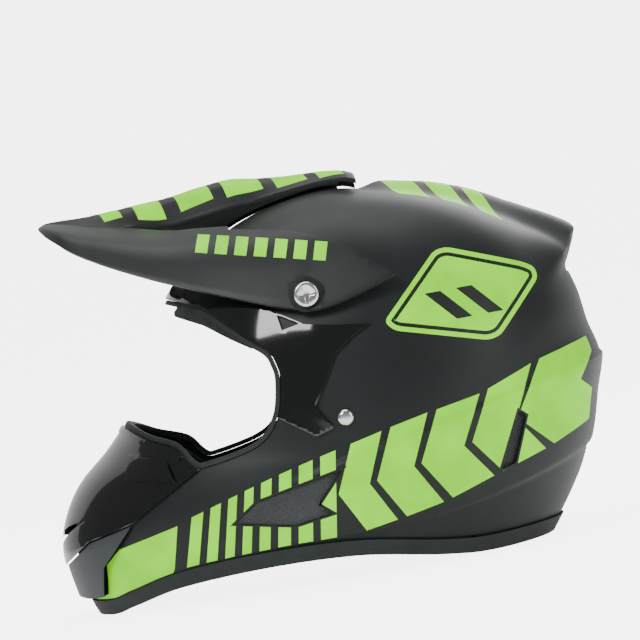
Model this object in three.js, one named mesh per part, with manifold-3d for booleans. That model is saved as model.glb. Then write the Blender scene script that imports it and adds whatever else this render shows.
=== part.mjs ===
// Motocross helmet: thin outer shell, foam and comfort linings, tilting peak, eyeport and chin trims,
// vents with grilles, and a fastened chin strap with two D-rings.
// Millimetres. +X is forwards, +Y is the wearer's left, +Z is up, and z = 0 is the table that it stands on.
import * as THREE from "three";
import { mergeVertices } from "three/addons/utils/BufferGeometryUtils.js";
import Module from "manifold-3d";

const wasm = await Module();
wasm.setup();

// ---------------------------------------------------------------- driving dimensions
const gap = 0.3; // left between pieces that touch
const shellWall = 3;
const ear = { x: -40, z: 74 }; // the widest point of the shell, seen from the side
const halfWidth = 120;
const topFullness = 0.75; // how much squarer than an ellipse the crown is
const outerSteps = 54; // facets round the outside of the shell, and round its inside
const innerSteps = 36;
const beltProud = 2.5; // the raised belt round the lower shell
const pivot = { x: -2, z: 179 }; // the peak turns about this line across the helmet
const rivet = { x: -12, z: 100 }; // the chin strap hangs from this line
const trimHeight = 10; // rubber edging round the bottom
const peakWall = 2.6;
const strap = { width: 25, thickness: 2, legY: 107 };

// ---------------------------------------------------------------- outlines, seen from the side as [x, z]
const shellOutline = [
  [176, 45], [172, 62], [160, 84], [141, 104], [124, 126], [111, 150], [100, 172], [87, 194], [68, 213],
  [42, 230], [10, 241], [-25, 245], [-55, 240], [-90, 231], [-122, 217], [-147, 200], [-162, 184],
  [-171, 168], [-176, 152], [-179, 130], [-183.1, 110], [-176, 86], [-168, 60], [-157, 36], [-136, 6],
  [-115, -18], [-80, -36], [-30, -44], [30, -42], [90, -34], [140, -24], [160, -10], [169, 4], [174, 24],
];
// The spoiler lip across the back of the crown, and the ridge down the middle that ends in it.
const lipOutline = [
  [-100, 227.5], [-122, 216], [-149, 200.5], [-171, 187], [-176, 182.5], [-175, 177], [-171.5, 168.5],
];
const ridgeOutline = [
  [-46, 241], [-60, 244.5], [-76, 241.5], [-94, 237.5], [-110, 232], [-139, 217.5], [-154, 209.5],
  [-179, 195], [-181.5, 191], [-178.5, 183], [-174.5, 175], [-171.5, 168.5],
];
const eyeportRim = [
  [104, 200], [90, 194], [66.5, 183.5], [52, 170.5], [40, 159], [28, 148.5], [24.5, 140], [23.5, 131],
  [26.5, 115], [30.5, 105.5], [38, 96], [48, 90.5], [62.5, 87], [79.5, 84.5], [85, 85], [90, 90],
  [95, 97.5], [101, 101.5], [115, 107.5], [132, 118], [150, 124],
];
const bottomEdge = [
  [190, 0], [158, 0], [141, 4.5], [108, 12.5], [55, 16], [-5, 13.5], [-60, 3.5], [-96, 0], [-190, 0],
];

// ---------------------------------------------------------------- small tools
const mix = (a, b, t) => a + (b - a) * t;
const clamp01 = (t) => Math.min(1, Math.max(0, t));
const smooth = (a, b, x) => {
  const t = clamp01((x - a) / (b - a));
  return t * t * (3 - 2 * t);
};

// A closed geometry as a solid, with its faces turned outwards.
function solidOf(geometry) {
  const bare = geometry.clone();
  for (const name of Object.keys(bare.attributes)) {
    if (name !== "position") bare.deleteAttribute(name);
  }
  const merged = mergeVertices(bare, 1e-4);
  const vertProperties = Float32Array.from(merged.attributes.position.array);
  const triVerts = Uint32Array.from(merged.index.array);
  const made = new wasm.Manifold(new wasm.Mesh({ numProp: 3, vertProperties, triVerts }));
  if (made.volume() > 0) return made;
  for (let i = 0; i < triVerts.length; i += 3) {
    [triVerts[i + 1], triVerts[i + 2]] = [triVerts[i + 2], triVerts[i + 1]];
  }
  return new wasm.Manifold(new wasm.Mesh({ numProp: 3, vertProperties, triVerts }));
}

function geometryOf(solid) {
  const mesh = solid.getMesh();
  const position = new Float32Array(mesh.numVert * 3);
  for (let i = 0; i < mesh.numVert; i++) {
    position.set(mesh.vertProperties.subarray(i * mesh.numProp, i * mesh.numProp + 3), i * 3);
  }
  return new THREE.BufferGeometry()
    .setAttribute("position", new THREE.BufferAttribute(position, 3))
    .setIndex(new THREE.BufferAttribute(mesh.triVerts, 1));
}

// Moves every vertex of a geometry to where place(x, y, z) says.
function reshape(geometry, place) {
  const p = geometry.attributes.position;
  for (let i = 0; i < p.count; i++) p.setXYZ(i, ...place(p.getX(i), p.getY(i), p.getZ(i)));
  return geometry;
}

// A box whose length, width and thickness follow place(u, v, w), each from 0 to 1.
function bentBox(lengthSteps, widthSteps, place) {
  const box = new THREE.BoxGeometry(1, 1, 1, lengthSteps, widthSteps, 1);
  return solidOf(reshape(box, (x, y, z) => place(x + 0.5, y + 0.5, z + 0.5)));
}

function shapeThrough(points) {
  return new THREE.Shape(points.map(([a, b]) => new THREE.Vector2(a, b)));
}

// A side outline [x, z] made solid from y = from to y = to.
function prismY(points, from, to) {
  const flat = new THREE.ExtrudeGeometry(shapeThrough(points), { depth: to - from, bevelEnabled: false });
  return solidOf(reshape(flat, (x, y, z) => [x, from + z, y]));
}

// A front outline [y, z] made solid from x = from to x = to.
function prismX(points, from, to) {
  const flat = new THREE.ExtrudeGeometry(shapeThrough(points), { depth: to - from, bevelEnabled: false });
  return solidOf(reshape(flat, (x, y, z) => [from + z, x, y]));
}

// A plan outline [x, y] made solid from z = from to z = to.
function prismZ(points, from, to) {
  const flat = new THREE.ExtrudeGeometry(shapeThrough(points), { depth: to - from, bevelEnabled: false });
  return solidOf(reshape(flat, (x, y, z) => [x, y, from + z]));
}

// A round bar along Y.
function barY(x, z, radius, from, to, sides = 20) {
  const bar = new THREE.CylinderGeometry(radius, radius, to - from, sides);
  return solidOf(reshape(bar, (a, b, c) => [x + a, (from + to) / 2 + b, z + c]));
}

// A smooth open line through points, as short steps.
function curved(points, steps) {
  const line = new THREE.SplineCurve(points.map(([a, b]) => new THREE.Vector2(a, b)));
  return line.getPoints(steps).map((p) => [p.x, p.y]);
}

// The same line moved sideways: a positive distance is to the left of its direction.
function besides(points, distance) {
  return points.map((p, i) => {
    const before = points[Math.max(0, i - 1)];
    const after = points[Math.min(points.length - 1, i + 1)];
    const along = new THREE.Vector2(after[0] - before[0], after[1] - before[1]).normalize();
    return [p[0] - along.y * distance, p[1] + along.x * distance];
  });
}

// A closed outline of a band of even thickness that follows a line.
const band = (points, a, b) => [...besides(points, a), ...besides(points, b).reverse()];

// A smooth value through [position, value] pairs.
function through(pairs) {
  const slope = (i) => {
    const a = pairs[Math.max(0, i - 1)];
    const b = pairs[Math.min(pairs.length - 1, i + 1)];
    return (b[1] - a[1]) / (b[0] - a[0]);
  };
  return (x) => {
    let i = 0;
    while (i < pairs.length - 2 && x > pairs[i + 1][0]) i++;
    const [x0, y0] = pairs[i];
    const [x1, y1] = pairs[i + 1];
    const h = x1 - x0;
    const t = clamp01((x - x0) / h);
    return (
      y0 * (1 + 2 * t) * (1 - t) ** 2 + slope(i) * h * t * (1 - t) ** 2 +
      y1 * t * t * (3 - 2 * t) - slope(i + 1) * h * t * t * (1 - t)
    );
  };
}

// ---------------------------------------------------------------- the shell's surface
const fromEar = ([x, z]) => [Math.atan2(z - ear.z, x - ear.x), Math.hypot(x - ear.x, z - ear.z)];

// The distance from the ear point to a closed outline, for any direction.
function reachOf(outline) {
  const loop = new THREE.CatmullRomCurve3(
    outline.map(([x, z]) => new THREE.Vector3(x, 0, z)), true, "centripetal",
  );
  const table = loop.getPoints(480).slice(1).map((p) => fromEar([p.x, p.z]));
  table.sort((a, b) => a[0] - b[0]);
  const turn = 2 * Math.PI;
  table.unshift([table.at(-1)[0] - turn, table.at(-1)[1]]);
  table.push([table[1][0] + turn, table[1][1]]);
  return (angle) => {
    let low = 0;
    let high = table.length - 1;
    while (high - low > 1) {
      const middle = (low + high) >> 1;
      if (table[middle][0] > angle) high = middle;
      else low = middle;
    }
    const t = (angle - table[low][0]) / (table[high][0] - table[low][0] || 1);
    return mix(table[low][1], table[high][1], t);
  };
}

const shellReach = reachOf(shellOutline);

// The same for an open outline. Past its ends, and wherever it is lower, the shell itself counts.
function overlayReach(outline) {
  const polar = outline.map(fromEar).map(([a, r]) => [a < 0 ? a + 2 * Math.PI : a, r]);
  return (direction) => {
    const angle = direction < 0 ? direction + 2 * Math.PI : direction;
    if (angle <= polar[0][0] || angle >= polar.at(-1)[0]) return shellReach(direction);
    let i = 0;
    while (angle > polar[i + 1][0]) i++;
    const [a0, r0] = polar[i];
    const [a1, r1] = polar[i + 1];
    return Math.max(shellReach(direction), mix(r0, r1, (angle - a0) / (a1 - a0)));
  };
}

const lipReach = overlayReach(lipOutline);
const ridgeReach = overlayReach(ridgeOutline);

// How far the belt stands proud at a place on the side: 0 to 1.
function belt(x, z) {
  const back = Math.max(0, -32 - x);
  const upper = 73 - 0.2 * x;
  const lower = 28.2 + 0.05 * back + 0.001 * back ** 2;
  const across = smooth(lower - 2, lower + 3, z) * (1 - smooth(upper - 3, upper + 3, z));
  return across * (1 - smooth(-40, 60, x));
}

// A point of the shell's surface moved out by offset. The direction is a point of the unit sphere.
function shellPoint(dx, dy, dz, offset, plain = false) {
  const angle = Math.atan2(dz, dx);
  const fullness = 2 + topFullness * Math.max(0, Math.sin(angle)) ** 2;
  const reach = Math.hypot(dx, dz) ** (2 / fullness);
  const side = Math.sign(dy) * Math.abs(dy) ** (2 / fullness);
  const aside = Math.abs(side) * halfWidth;
  const lip = mix(lipReach(angle), shellReach(angle), smooth(30, 72, aside));
  const radius = plain ? shellReach(angle) : mix(Math.max(lip, ridgeReach(angle)), lip, smooth(12, 38, aside));
  const at = (extra) => [
    ear.x + (radius + extra) * reach * Math.cos(angle),
    side * (halfWidth + extra),
    ear.z + (radius + extra) * reach * Math.sin(angle),
  ];
  const [x, , z] = at(0);
  const extra = typeof offset === "function" ? offset(x, z) : offset;
  return at(extra + (plain ? 0 : beltProud * belt(x, z)));
}

// The full body of the shell, as if it had no openings. A plain body has no ridge and no belt.
function shellBody(offset, steps = outerSteps, plain = false) {
  const ball = new THREE.SphereGeometry(1, steps, Math.round(steps / 2));
  return solidOf(reshape(ball, (x, y, z) => shellPoint(x, y, z, offset, plain)));
}

const wide = 200; // past both sides of the helmet
const rim = curved(eyeportRim, 44);
const eyeportOutline = (inset) => [...besides(rim, inset), [330, 140], [330, 215]];
const eyeportCut = (inset = 0) => prismY(eyeportOutline(inset), -wide, wide);
const bottomLine = curved(bottomEdge, 30).map(([x, z]) => [x, Math.max(0, z)]);
const raised = (height) => bottomLine.map(([x, z]) => [x, z + height]);
const belowBottom = (height) => prismY([...raised(height), [-200, -80], [200, -80]], -wide, wide);
const bottomBand = (low, high) => prismY([...raised(low), ...raised(high).reverse()], -wide, wide);

// ---------------------------------------------------------------- materials
const finish = (color, roughness, metalness = 0) =>
  new THREE.MeshStandardMaterial({ color, roughness, metalness });
const materials = {
  matteShell: finish(0x23282a, 0.55),
  glossTrim: finish(0x0c0d0e, 0.12),
  lipPanel: finish(0x33363a, 0.5),
  rubber: finish(0x1c1f20, 0.8),
  foam: finish(0x26282a, 0.95),
  fabric: finish(0x1a1b1d, 1),
  webbing: finish(0x131415, 0.95),
  grille: finish(0x2a2d2f, 0.6, 0.3),
  steel: finish(0xc9ccd0, 0.25, 1),
};

const helmet = new THREE.Group();

function piece(name, solid, material) {
  const mesh = new THREE.Mesh(geometryOf(solid), materials[material]);
  mesh.name = name;
  helmet.add(mesh);
  return solid;
}

const sides = [["left", 1], ["right", -1]];

// The same solid on the helmet's other side.
const facing = (solid, side) => (side > 0 ? solid : solid.mirror([0, 1, 0]));

// ---------------------------------------------------------------- vents
const vents = {
  scoop: [[68, 47], [52, 58], [-4, 69], [14, 50], [6, 43], [30, 39.5]],
  sideVent: [[-101, 50], [-118.5, 84], [-123, 80], [-111, 52]],
  mouth: [[-48, 64], [-24, 54], [0, 45], [24, 54], [48, 64], [24, 60], [0, 54], [-24, 60]],
  exhaust: [[-28, 164], [28, 164], [31, 170], [0, 181], [-31, 170]],
};

// A closed outline with every edge moved inwards by the same distance.
function inset(points, distance) {
  const line = points.map(([a, b]) => new THREE.Vector2(a, b));
  const turnWay = Math.sign(THREE.ShapeUtils.area(line));
  const normal = (p, q) => new THREE.Vector2(p.y - q.y, q.x - p.x).normalize().multiplyScalar(turnWay);
  return line.map((p, i) => {
    const before = normal(line.at(i - 1), p);
    const after = normal(p, line[(i + 1) % line.length]);
    const way = before.clone().add(after).normalize();
    const moved = p.clone().addScaledVector(way, distance / way.dot(before));
    return [moved.x, moved.y];
  });
}

const scoopCut = (by = 0) => prismY(inset(vents.scoop, by), 60, wide);
const sideVentCut = (by = 0) => prismY(inset(vents.sideVent, by), 50, wide);
const mouthCut = (by = 0) => prismX(inset(vents.mouth, by), 120, 220);
const exhaustCut = (by = 0) => prismX(inset(vents.exhaust, by), -240, -140);

// ---------------------------------------------------------------- outer shell
const peakPad = 110; // how far out the flat pads under the peak's ears stand
const bottomLip = 2; // how far the shell's lower edge stops above the foot of its edging

function outerShell() {
  let shell = shellBody(0)
    .subtract(shellBody(-shellWall, innerSteps, true))
    .subtract(bottomBand(0, trimHeight + gap).subtract(shellBody(0, outerSteps, true)))
    .subtract(eyeportCut())
    .subtract(belowBottom(bottomLip + gap))
    .subtract(mouthCut())
    .subtract(exhaustCut());
  for (const [, side] of sides) {
    shell = shell
      .add(facing(barY(pivot.x, pivot.z, 10, 98, peakPad), side))
      .subtract(facing(barY(pivot.x, pivot.z, 4.8, 90, 105.3), side))
      .subtract(facing(barY(pivot.x, pivot.z, 3, 100, 120), side))
      .subtract(facing(barY(rivet.x, rivet.z, 2.8, 100, 130, 16), side))
      .subtract(facing(scoopCut(), side))
      .subtract(facing(sideVentCut(), side));
  }
  return shell;
}
piece("outer_shell", outerShell(), "matteShell");

// ---------------------------------------------------------------- edgings
// The bottom edging is a channel that the shell's edge stands in.
const bottomChannel = shellBody(gap, outerSteps, true)
  .subtract(shellBody(-shellWall - gap, innerSteps, true))
  .intersect(bottomBand(bottomLip, trimHeight + 5));
piece(
  "bottom_edge_trim",
  shellBody(1.6, outerSteps, true)
    .subtract(shellBody(-4.6, innerSteps, true))
    .intersect(bottomBand(0, trimHeight))
    .subtract(bottomChannel),
  "rubber",
);
piece(
  "eyeport_gasket",
  shellBody(0.9, outerSteps, true)
    .subtract(shellBody(-5, innerSteps, true))
    .intersect(prismY(band(rim, gap, 3.3), -wide, wide)),
  "rubber",
);

// ---------------------------------------------------------------- trims outside the shell
// A panel that lies on the shell, as seen from the side.
const panel = (outline, thickness, from = -wide, to = wide) =>
  shellBody(thickness, outerSteps, true)
    .subtract(shellBody(gap, outerSteps, true))
    .intersect(prismY(outline, from, to));

// Glossy trim over the brow and down both cheeks, with a three-cornered pocket at each temple.
const rimEdge = besides(rim, -gap).filter(([x, z]) => x < 97 && (z > 91.5 || x < 30));
const trimEnd = rimEdge.findLastIndex(([x, z]) => x < 30 && z < 110);
const faceTrimOutline = [
  [99, 212], ...rimEdge.slice(0, trimEnd + 1), [8, 91.5], [-4, 95], [5, 110], [-5, 126.5], [-13, 140],
  [-25, 148.5], [-37, 154.5], [-18, 157], [2, 161], [21, 173], [40, 187], [66, 204], [84, 213],
];
const templePocket = [[18.5, 170], [6, 162], [17, 160]];
const faceTrim = panel(faceTrimOutline, 2.2);
piece("face_trim", faceTrim.subtract(prismY(templePocket, -wide, wide)), "glossTrim");

// The guard over the chin bar gets thicker towards the front.
const guardDepth = (most) => (x) => mix(1.8, most, smooth(125, 176, x));
const guardBody = (most) => shellBody(guardDepth(most), outerSteps, true);
const underChin = shellBody(gap, outerSteps, true);
const guardOutline = [
  [84, 84], [133, 57], [164, 49.5], [186, 34.5], [210, 34.5], [210, 130], [84, 130],
];
const chinLipOutline = [
  [134, 55.6], [163.5, 48.6], [185, 34], [210, 34], [210, 20], [172, 12.5], [161, 13], [157, 32], [147, 42],
];
piece(
  "chin_guard",
  guardBody(9.6)
    .subtract(underChin)
    .intersect(prismY(guardOutline, -wide, wide))
    .subtract(eyeportCut(-gap))
    .subtract(mouthCut()),
  "glossTrim",
);
piece(
  "chin_lip_panel",
  guardBody(8.2).subtract(underChin).intersect(prismY(chinLipOutline, -wide, wide)),
  "lipPanel",
);

// ---------------------------------------------------------------- grilles
// A plate set in an opening of the shell, with rows of slots through it.
const grillePlate = shellBody(-0.8, innerSteps, true).subtract(shellBody(-2.4, innerSteps, true));
const slots = (outlines, make) => wasm.Manifold.union(outlines.map(make));

function slotsY(spots, height) {
  return slots(spots, ([x, z, length]) =>
    prismY([[x, z], [x + length, z - length * 0.2], [x + length, z + height - length * 0.2], [x, z + height]], 60, wide),
  );
}

const scoopGrille = grillePlate
  .intersect(scoopCut(gap))
  .subtract(slotsY([[6, 59.5, 40], [16, 52.5, 36], [22, 46, 34]], 2.6));
const sideVentGrille = grillePlate
  .intersect(sideVentCut(gap))
  .subtract(slotsY([[-119, 79, 5], [-116, 73, 6], [-113.5, 67, 6], [-111, 61, 6], [-109, 55, 6]], 2.4));
for (const [name, side] of sides) {
  piece(`front_side_grille_${name}`, facing(scoopGrille, side), "grille");
  piece(`rear_side_grille_${name}`, facing(sideVentGrille, side), "grille");
}

const upright = (y, low, high) => prismX([[y, low], [y + 3, low], [y + 3, high], [y, high]], -240, 220);
const mouthSlots = slots([-24, -16, -8, 5, 13, 21], (y) =>
  upright(y, 48.5 + Math.abs(y + 1.5) * 0.34, 52 + Math.abs(y + 1.5) * 0.2),
);
piece("chin_vent_grille", grillePlate.intersect(mouthCut(gap)).subtract(mouthSlots), "grille");
const exhaustSlots = slots([-21, -14, -7, 4, 11, 18], (y) => upright(y, 166, 175 - Math.abs(y + 1.5) * 0.3));
piece("exhaust_grille", grillePlate.intersect(exhaustCut(gap)).subtract(exhaustSlots), "grille");

// ---------------------------------------------------------------- linings
// The room for the head: a dome above an upright elliptical well. It shrinks by each lining's thickness.
const head = { x: -46, z: 118, long: 109, wide: 87, tall: 92 };

function headRoom(shrink, steps = 32) {
  const long = head.long - shrink;
  const across = head.wide - shrink;
  const dome = new THREE.SphereGeometry(1, steps, steps / 2);
  const well = new THREE.CylinderGeometry(1, 1, 1, steps);
  const tall = head.tall - shrink;
  return solidOf(reshape(dome, (x, y, z) => [head.x + x * long, z * across, head.z + y * tall])).add(
    solidOf(reshape(well, (x, y, z) => [head.x + x * long, z * across, (y + 0.5) * 220 - 102])),
  ).intersect(shellBody(-18 - shrink, innerSteps, true));
}

const liningBody = shellBody(-4.4, innerSteps, true);
const underBrow = prismY([[95, 200], [84, 181], [66, 172], [50, 160], [38, 152], [20, 150], [20, 200]], -wide, wide);
const foamFloor = prismY(
  [[-240, 36], [-92, 36], [-76, 70], [-68, 98], [90, 98], [90, -90], [-240, -90]], -wide, wide,
);
const frontCut = prismY([[88, -90], [88, 175], [110, 200], [260, 200], [260, -90]], -wide, wide);
const foam = liningBody
  .subtract(eyeportCut())
  .add(shellBody(-6, innerSteps, true).intersect(underBrow))
  .subtract(headRoom(0))
  .subtract(foamFloor)
  .subtract(frontCut);

function foamLiner() {
  let liner = foam;
  for (const [, side] of sides) {
    const anchorRoom = prismY([[-34, 60], [10, 60], [10, 122], [-34, 122]], 104, wide);
    liner = liner
      .subtract(facing(barY(pivot.x, pivot.z, 11, 92, 140), side))
      .subtract(facing(anchorRoom, side));
  }
  return liner;
}
piece("foam_liner", foamLiner(), "foam");

const comfortFloor = prismY(
  [[-240, 84], [-110, 84], [-72, 108], [14, 108], [26, 140], [50, 160], [64, 171], [260, 171], [260, -200],
    [-240, -200]], -wide, wide,
);
piece("comfort_liner", headRoom(0.5, 32).subtract(headRoom(8.5, 32)).subtract(comfortFloor), "fabric");

// ---------------------------------------------------------------- chin strap
// Each leg as [y, z], from the rivet down and under the chin. The left leg ends in a loop round the
// two rings. The right leg goes up through both rings, back over the first and under the second.
const leg = [[110, 109], [110, 92], [109, 60], [103, 38], [92, 24], [70, 16.5], [45, 14]];
const ringHold = [[30, 13.4], [21, 13.7], [16.3, 17.2], [21, 20.8], [32, 20.8], [42, 19.4]];
const fastened = [
  [-20, 12.8], [-4, 12.6], [5.5, 13.4], [9.4, 17.2], [5.5, 20.9], [-1.5, 20.9], [-4.9, 18.8], [-6.2, 16.4],
  [-10.5, 15.4], [-22, 15.3], [-40, 16.6], [-54, 18.6],
];

function webbing(points, steps) {
  const line = curved(points, steps);
  const faces = [besides(line, -strap.thickness / 2), besides(line, strap.thickness / 2)];
  return bentBox(steps, 1, (u, v, w) => {
    const i = Math.round(u * steps);
    const across = rivet.x + (v - 0.5) * strap.width;
    return [across, mix(faces[0][i][0], faces[1][i][0], w), mix(faces[0][i][1], faces[1][i][1], w)];
  });
}

const rivetHole = barY(rivet.x, rivet.z, 2.8, -wide, wide, 16);
piece("chin_strap_left", webbing([...leg, ...ringHold], 46).subtract(rivetHole), "webbing");
const rightLeg = leg.map(([y, z]) => [-y, z]);
piece("chin_strap_right", webbing([...rightLeg, ...fastened], 64).subtract(rivetHole), "webbing");

// A ring with one straight side: the straight bar lies along X at barAt and the bow reaches to bowAt.
function dRing(halfLength, barAt, bowAt, radius = 1.5) {
  const [y0, z0] = barAt;
  const [y1, z1] = bowAt;
  const corner = [
    [1, 0.05], [0.96, 0], [-0.96, 0], [-1, 0.05], [-1, 0.6], [-0.94, 0.86], [-0.7, 1], [0.7, 1], [0.94, 0.86],
    [1, 0.6],
  ];
  const points = corner.map(([a, t]) =>
    new THREE.Vector3(rivet.x + a * halfLength, mix(y0, y1, t), mix(z0, z1, t)));
  const loop = new THREE.CatmullRomCurve3(points, true, "centripetal");
  return solidOf(new THREE.TubeGeometry(loop, 36, radius, 6, true));
}
piece("d_ring_inner", dRing(14.6, [21, 17.2], [-1, 17]), "steel");
piece("d_ring_outer", dRing(18.4, [25, 17.2], [-10.6, 18.9]), "steel");

// Rivets and the plates that keep them from pulling through the webbing.
for (const [name, side] of sides) {
  const plate = barY(rivet.x, rivet.z, 11, 111.5, 113, 20).subtract(rivetHole);
  const shaped = barY(rivet.x, rivet.z, 2.4, 106.4, 120, 16)
    .add(barY(rivet.x, rivet.z, 5.4, 119.6, 121.4, 20))
    .add(barY(rivet.x, rivet.z, 5, 106, 108, 20));
  piece(`strap_plate_${name}`, facing(plate, side), "steel");
  piece(`strap_rivet_${name}`, facing(shaped, side), "steel");
}

// ---------------------------------------------------------------- pads
// Room is left all round the strap so that it can swing.
const strapRoom = (() => {
  const line = curved([[110, 125], ...leg, [10, 12.4]], 30);
  return prismX(band(line, -5, 30), -wide, wide);
})();
const padOutline = [
  [-66, 22], [-40, 24], [0, 27], [52, 30], [74, 40], [78, 62], [62, 76], [46, 82], [33, 92], [-20, 96], [-64, 92],
];
const cheekHollow = solidOf(
  reshape(new THREE.CylinderGeometry(1, 1, 200, 32), (x, y, z) => [head.x + x * 210, z * 68, y]),
);
const cheekPad = shellBody(-6, innerSteps, true)
  .subtract(cheekHollow)
  .intersect(prismY(padOutline, 20, wide))
  .subtract(strapRoom);
for (const [name, side] of sides) {
  piece(`cheek_pad_${name}`, facing(cheekPad, side), "fabric");
}

const chinFoamOutline = [
  [86, 38], [140, 22], [164, 18], [190, 30], [190, 60], [160, 84], [130, 112], [112, 100], [98, 93], [88, 82],
];
piece(
  "chin_bar_foam",
  shellBody(-4.4, innerSteps, true)
    .subtract(shellBody(-15, innerSteps, true))
    .intersect(prismY(chinFoamOutline, -wide, wide))
    .subtract(eyeportCut(-4))
    .subtract(mouthCut()),
  "foam",
);

const neckOutline = [[-240, 14], [-96, 14], [-78, 22], [-74, 33], [-240, 33]];
piece(
  "neck_roll",
  shellBody(-6, innerSteps, true).subtract(headRoom(-1)).intersect(prismY(neckOutline, -wide, wide)),
  "fabric",
);

// ---------------------------------------------------------------- peak
// Along the helmet, from the wing tips at the back to the front edge.
const peakTop = through([
  [-58, 246], [-45, 252.5], [-38.6, 255], [-25, 257], [0, 258.5], [17, 260.5], [35, 263], [57, 261.3],
  [73, 259], [94, 257.8], [128, 256.2], [157, 256.8], [162.5, 255.2],
]);
const peakRim = through([
  [-58, 181.4], [-44, 176.6], [-24, 171.3], [-9, 168.8], [0, 169.7], [10, 172.7], [23, 177], [84, 203],
  [112, 216.7], [127, 225], [143, 235.4], [156, 246], [161, 251.5], [162.5, 253.2],
]);
const peakHalf = through([
  [-58, 118], [-44, 119], [-24, 119], [-9, 118], [0, 117], [10, 114.5], [23, 111], [68, 96], [84, 89],
  [112, 77], [127, 69], [145, 56], [156, 37], [161, 21], [162.5, 11],
]);
// The middle strip: its half width, and how far its edges drop below its crest.
const stripHalf = through([
  [-58, 38], [-47, 37], [-20, 33], [30, 30], [79, 28], [109, 29], [135, 22], [155, 11], [162.5, 3],
]);
const stripDrop = through([
  [-58, 5], [-45, 5], [-20, 7.5], [3, 11], [25, 16], [51, 18], [82, 17], [110, 12], [128, 7], [150, 2.2],
  [162.5, 0.4],
]);
const stripShape = through([[0, 0], [0.45, 0.03], [0.74, 0.2], [1, 1]]);
// How far down each side has dropped, from the edge of the strip (0) to the rim (1).
const sideShape = through([
  [0, 0], [0.2, 0.075], [0.42, 0.19], [0.6, 0.3], [0.74, 0.42], [0.85, 0.6], [0.93, 0.8], [1, 1],
]);
const peakStations = [
  -58, -50, -40, -30, -18, -6, 6, 20, 34, 48, 62, 77, 93, 109, 122, 134, 144, 152, 158, 162.5,
];
// Across one half: 0 is the middle, 1 the edge of the strip, 2 the rim.
const halfAcross = [0, 0.45, 0.74, 1, 1.24, 1.46, 1.66, 1.82, 1.93, 2];
const fullAcross = [...halfAcross.slice(1).reverse().map((s) => -s), ...halfAcross];

function peakPoint(x, across) {
  const s = Math.abs(across);
  const inner = Math.min(s, 1);
  const outer = Math.max(0, s - 1);
  const edge = peakTop(x) - stripDrop(x);
  const y = s < 1 ? inner * stripHalf(x) : mix(stripHalf(x), peakHalf(x), outer);
  const z = s < 1 ? peakTop(x) - stripDrop(x) * stripShape(inner) : mix(edge, peakRim(x), sideShape(outer));
  return new THREE.Vector3(x, Math.sign(across) * y, z);
}

function peakSheet() {
  return bentBox(peakStations.length - 1, fullAcross.length - 1, (u, v, w) => {
    const x = peakStations[Math.round(u * (peakStations.length - 1))];
    const across = fullAcross[Math.round(v * (fullAcross.length - 1))];
    const here = peakPoint(x, across);
    const forward = peakPoint(x + 0.5, across).sub(peakPoint(x - 0.5, across));
    const left = peakPoint(x, Math.min(2, across + 0.02)).sub(peakPoint(x, Math.max(-2, across - 0.02)));
    const out = forward.cross(left).normalize();
    return here.addScaledVector(out, (w - 1) * peakWall).toArray();
  });
}

// The openings between the middle strip and the two wings, in plan. They run out at the back.
const peakOpening = [
  [109, 30], [79, 28], [30, 30], [-20, 33], [-47, 37], [-90, 37], [-90, 112], [-56, 112], [-38, 107],
  [-22, 100], [-4, 87], [5, 77], [27, 73.5], [56, 59],
];
const aboveWing = [[-90, 165], [-58, 182.4], [-39, 198.6], [-22, 210], [0, 220.5], [39, 229], [39, 300], [-90, 300]];
const seat = { inner: peakPad + 1.4, outer: 116 };

function peak() {
  let hood = peakSheet().subtract(prismZ([[-100, -40], [-47, -40], [-44, 0], [-47, 40], [-100, 40]], 150, 300));
  for (const [, side] of sides) {
    hood = hood
      .subtract(facing(prismZ(peakOpening, 150, 300), side))
      .subtract(facing(prismY(aboveWing, 60, wide), side))
      .subtract(facing(barY(pivot.x, pivot.z, 11, 80, seat.inner), side))
      .subtract(facing(barY(pivot.x, pivot.z, 9.4, seat.outer, 140), side))
      .add(facing(barY(pivot.x, pivot.z, 11, seat.inner, seat.outer), side))
      .subtract(facing(barY(pivot.x, pivot.z, 3, 80, 140), side));
  }
  return hood;
}
piece("peak", peak(), "matteShell");

// ---------------------------------------------------------------- peak fasteners
for (const [name, side] of sides) {
  const slot = [[-1.1, -5.5], [1.1, -5.5], [1.1, 5.5], [-1.1, 5.5]];
  const cross = (points) => prismY(points.map(([x, z]) => [pivot.x + x, pivot.z + z]), 118.2, 125);
  const screw = barY(pivot.x, pivot.z, 2.5, 98, 117)
    .add(barY(pivot.x, pivot.z, 8.5, seat.outer + gap, 119.6, 32))
    .subtract(cross(slot))
    .subtract(cross(slot.map(([x, z]) => [z, x]).reverse()));
  const hole = barY(pivot.x, pivot.z, 2.8, 80, 140);
  const washer = barY(pivot.x, pivot.z, 9, peakPad + 0.2, seat.inner - 0.2).subtract(hole);
  const nut = barY(pivot.x, pivot.z, 6.5, 95.6, 97.2).add(barY(pivot.x, pivot.z, 4.5, 97, 104.8)).subtract(hole);
  piece(`peak_screw_${name}`, facing(screw, side), "steel");
  piece(`peak_washer_${name}`, facing(washer, side), "rubber");
  piece(`peak_nut_${name}`, facing(nut, side), "steel");
}

export default helmet;
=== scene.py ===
import math

import bmesh
import bpy
import numpy as np
from mathutils import Matrix, Vector


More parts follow.
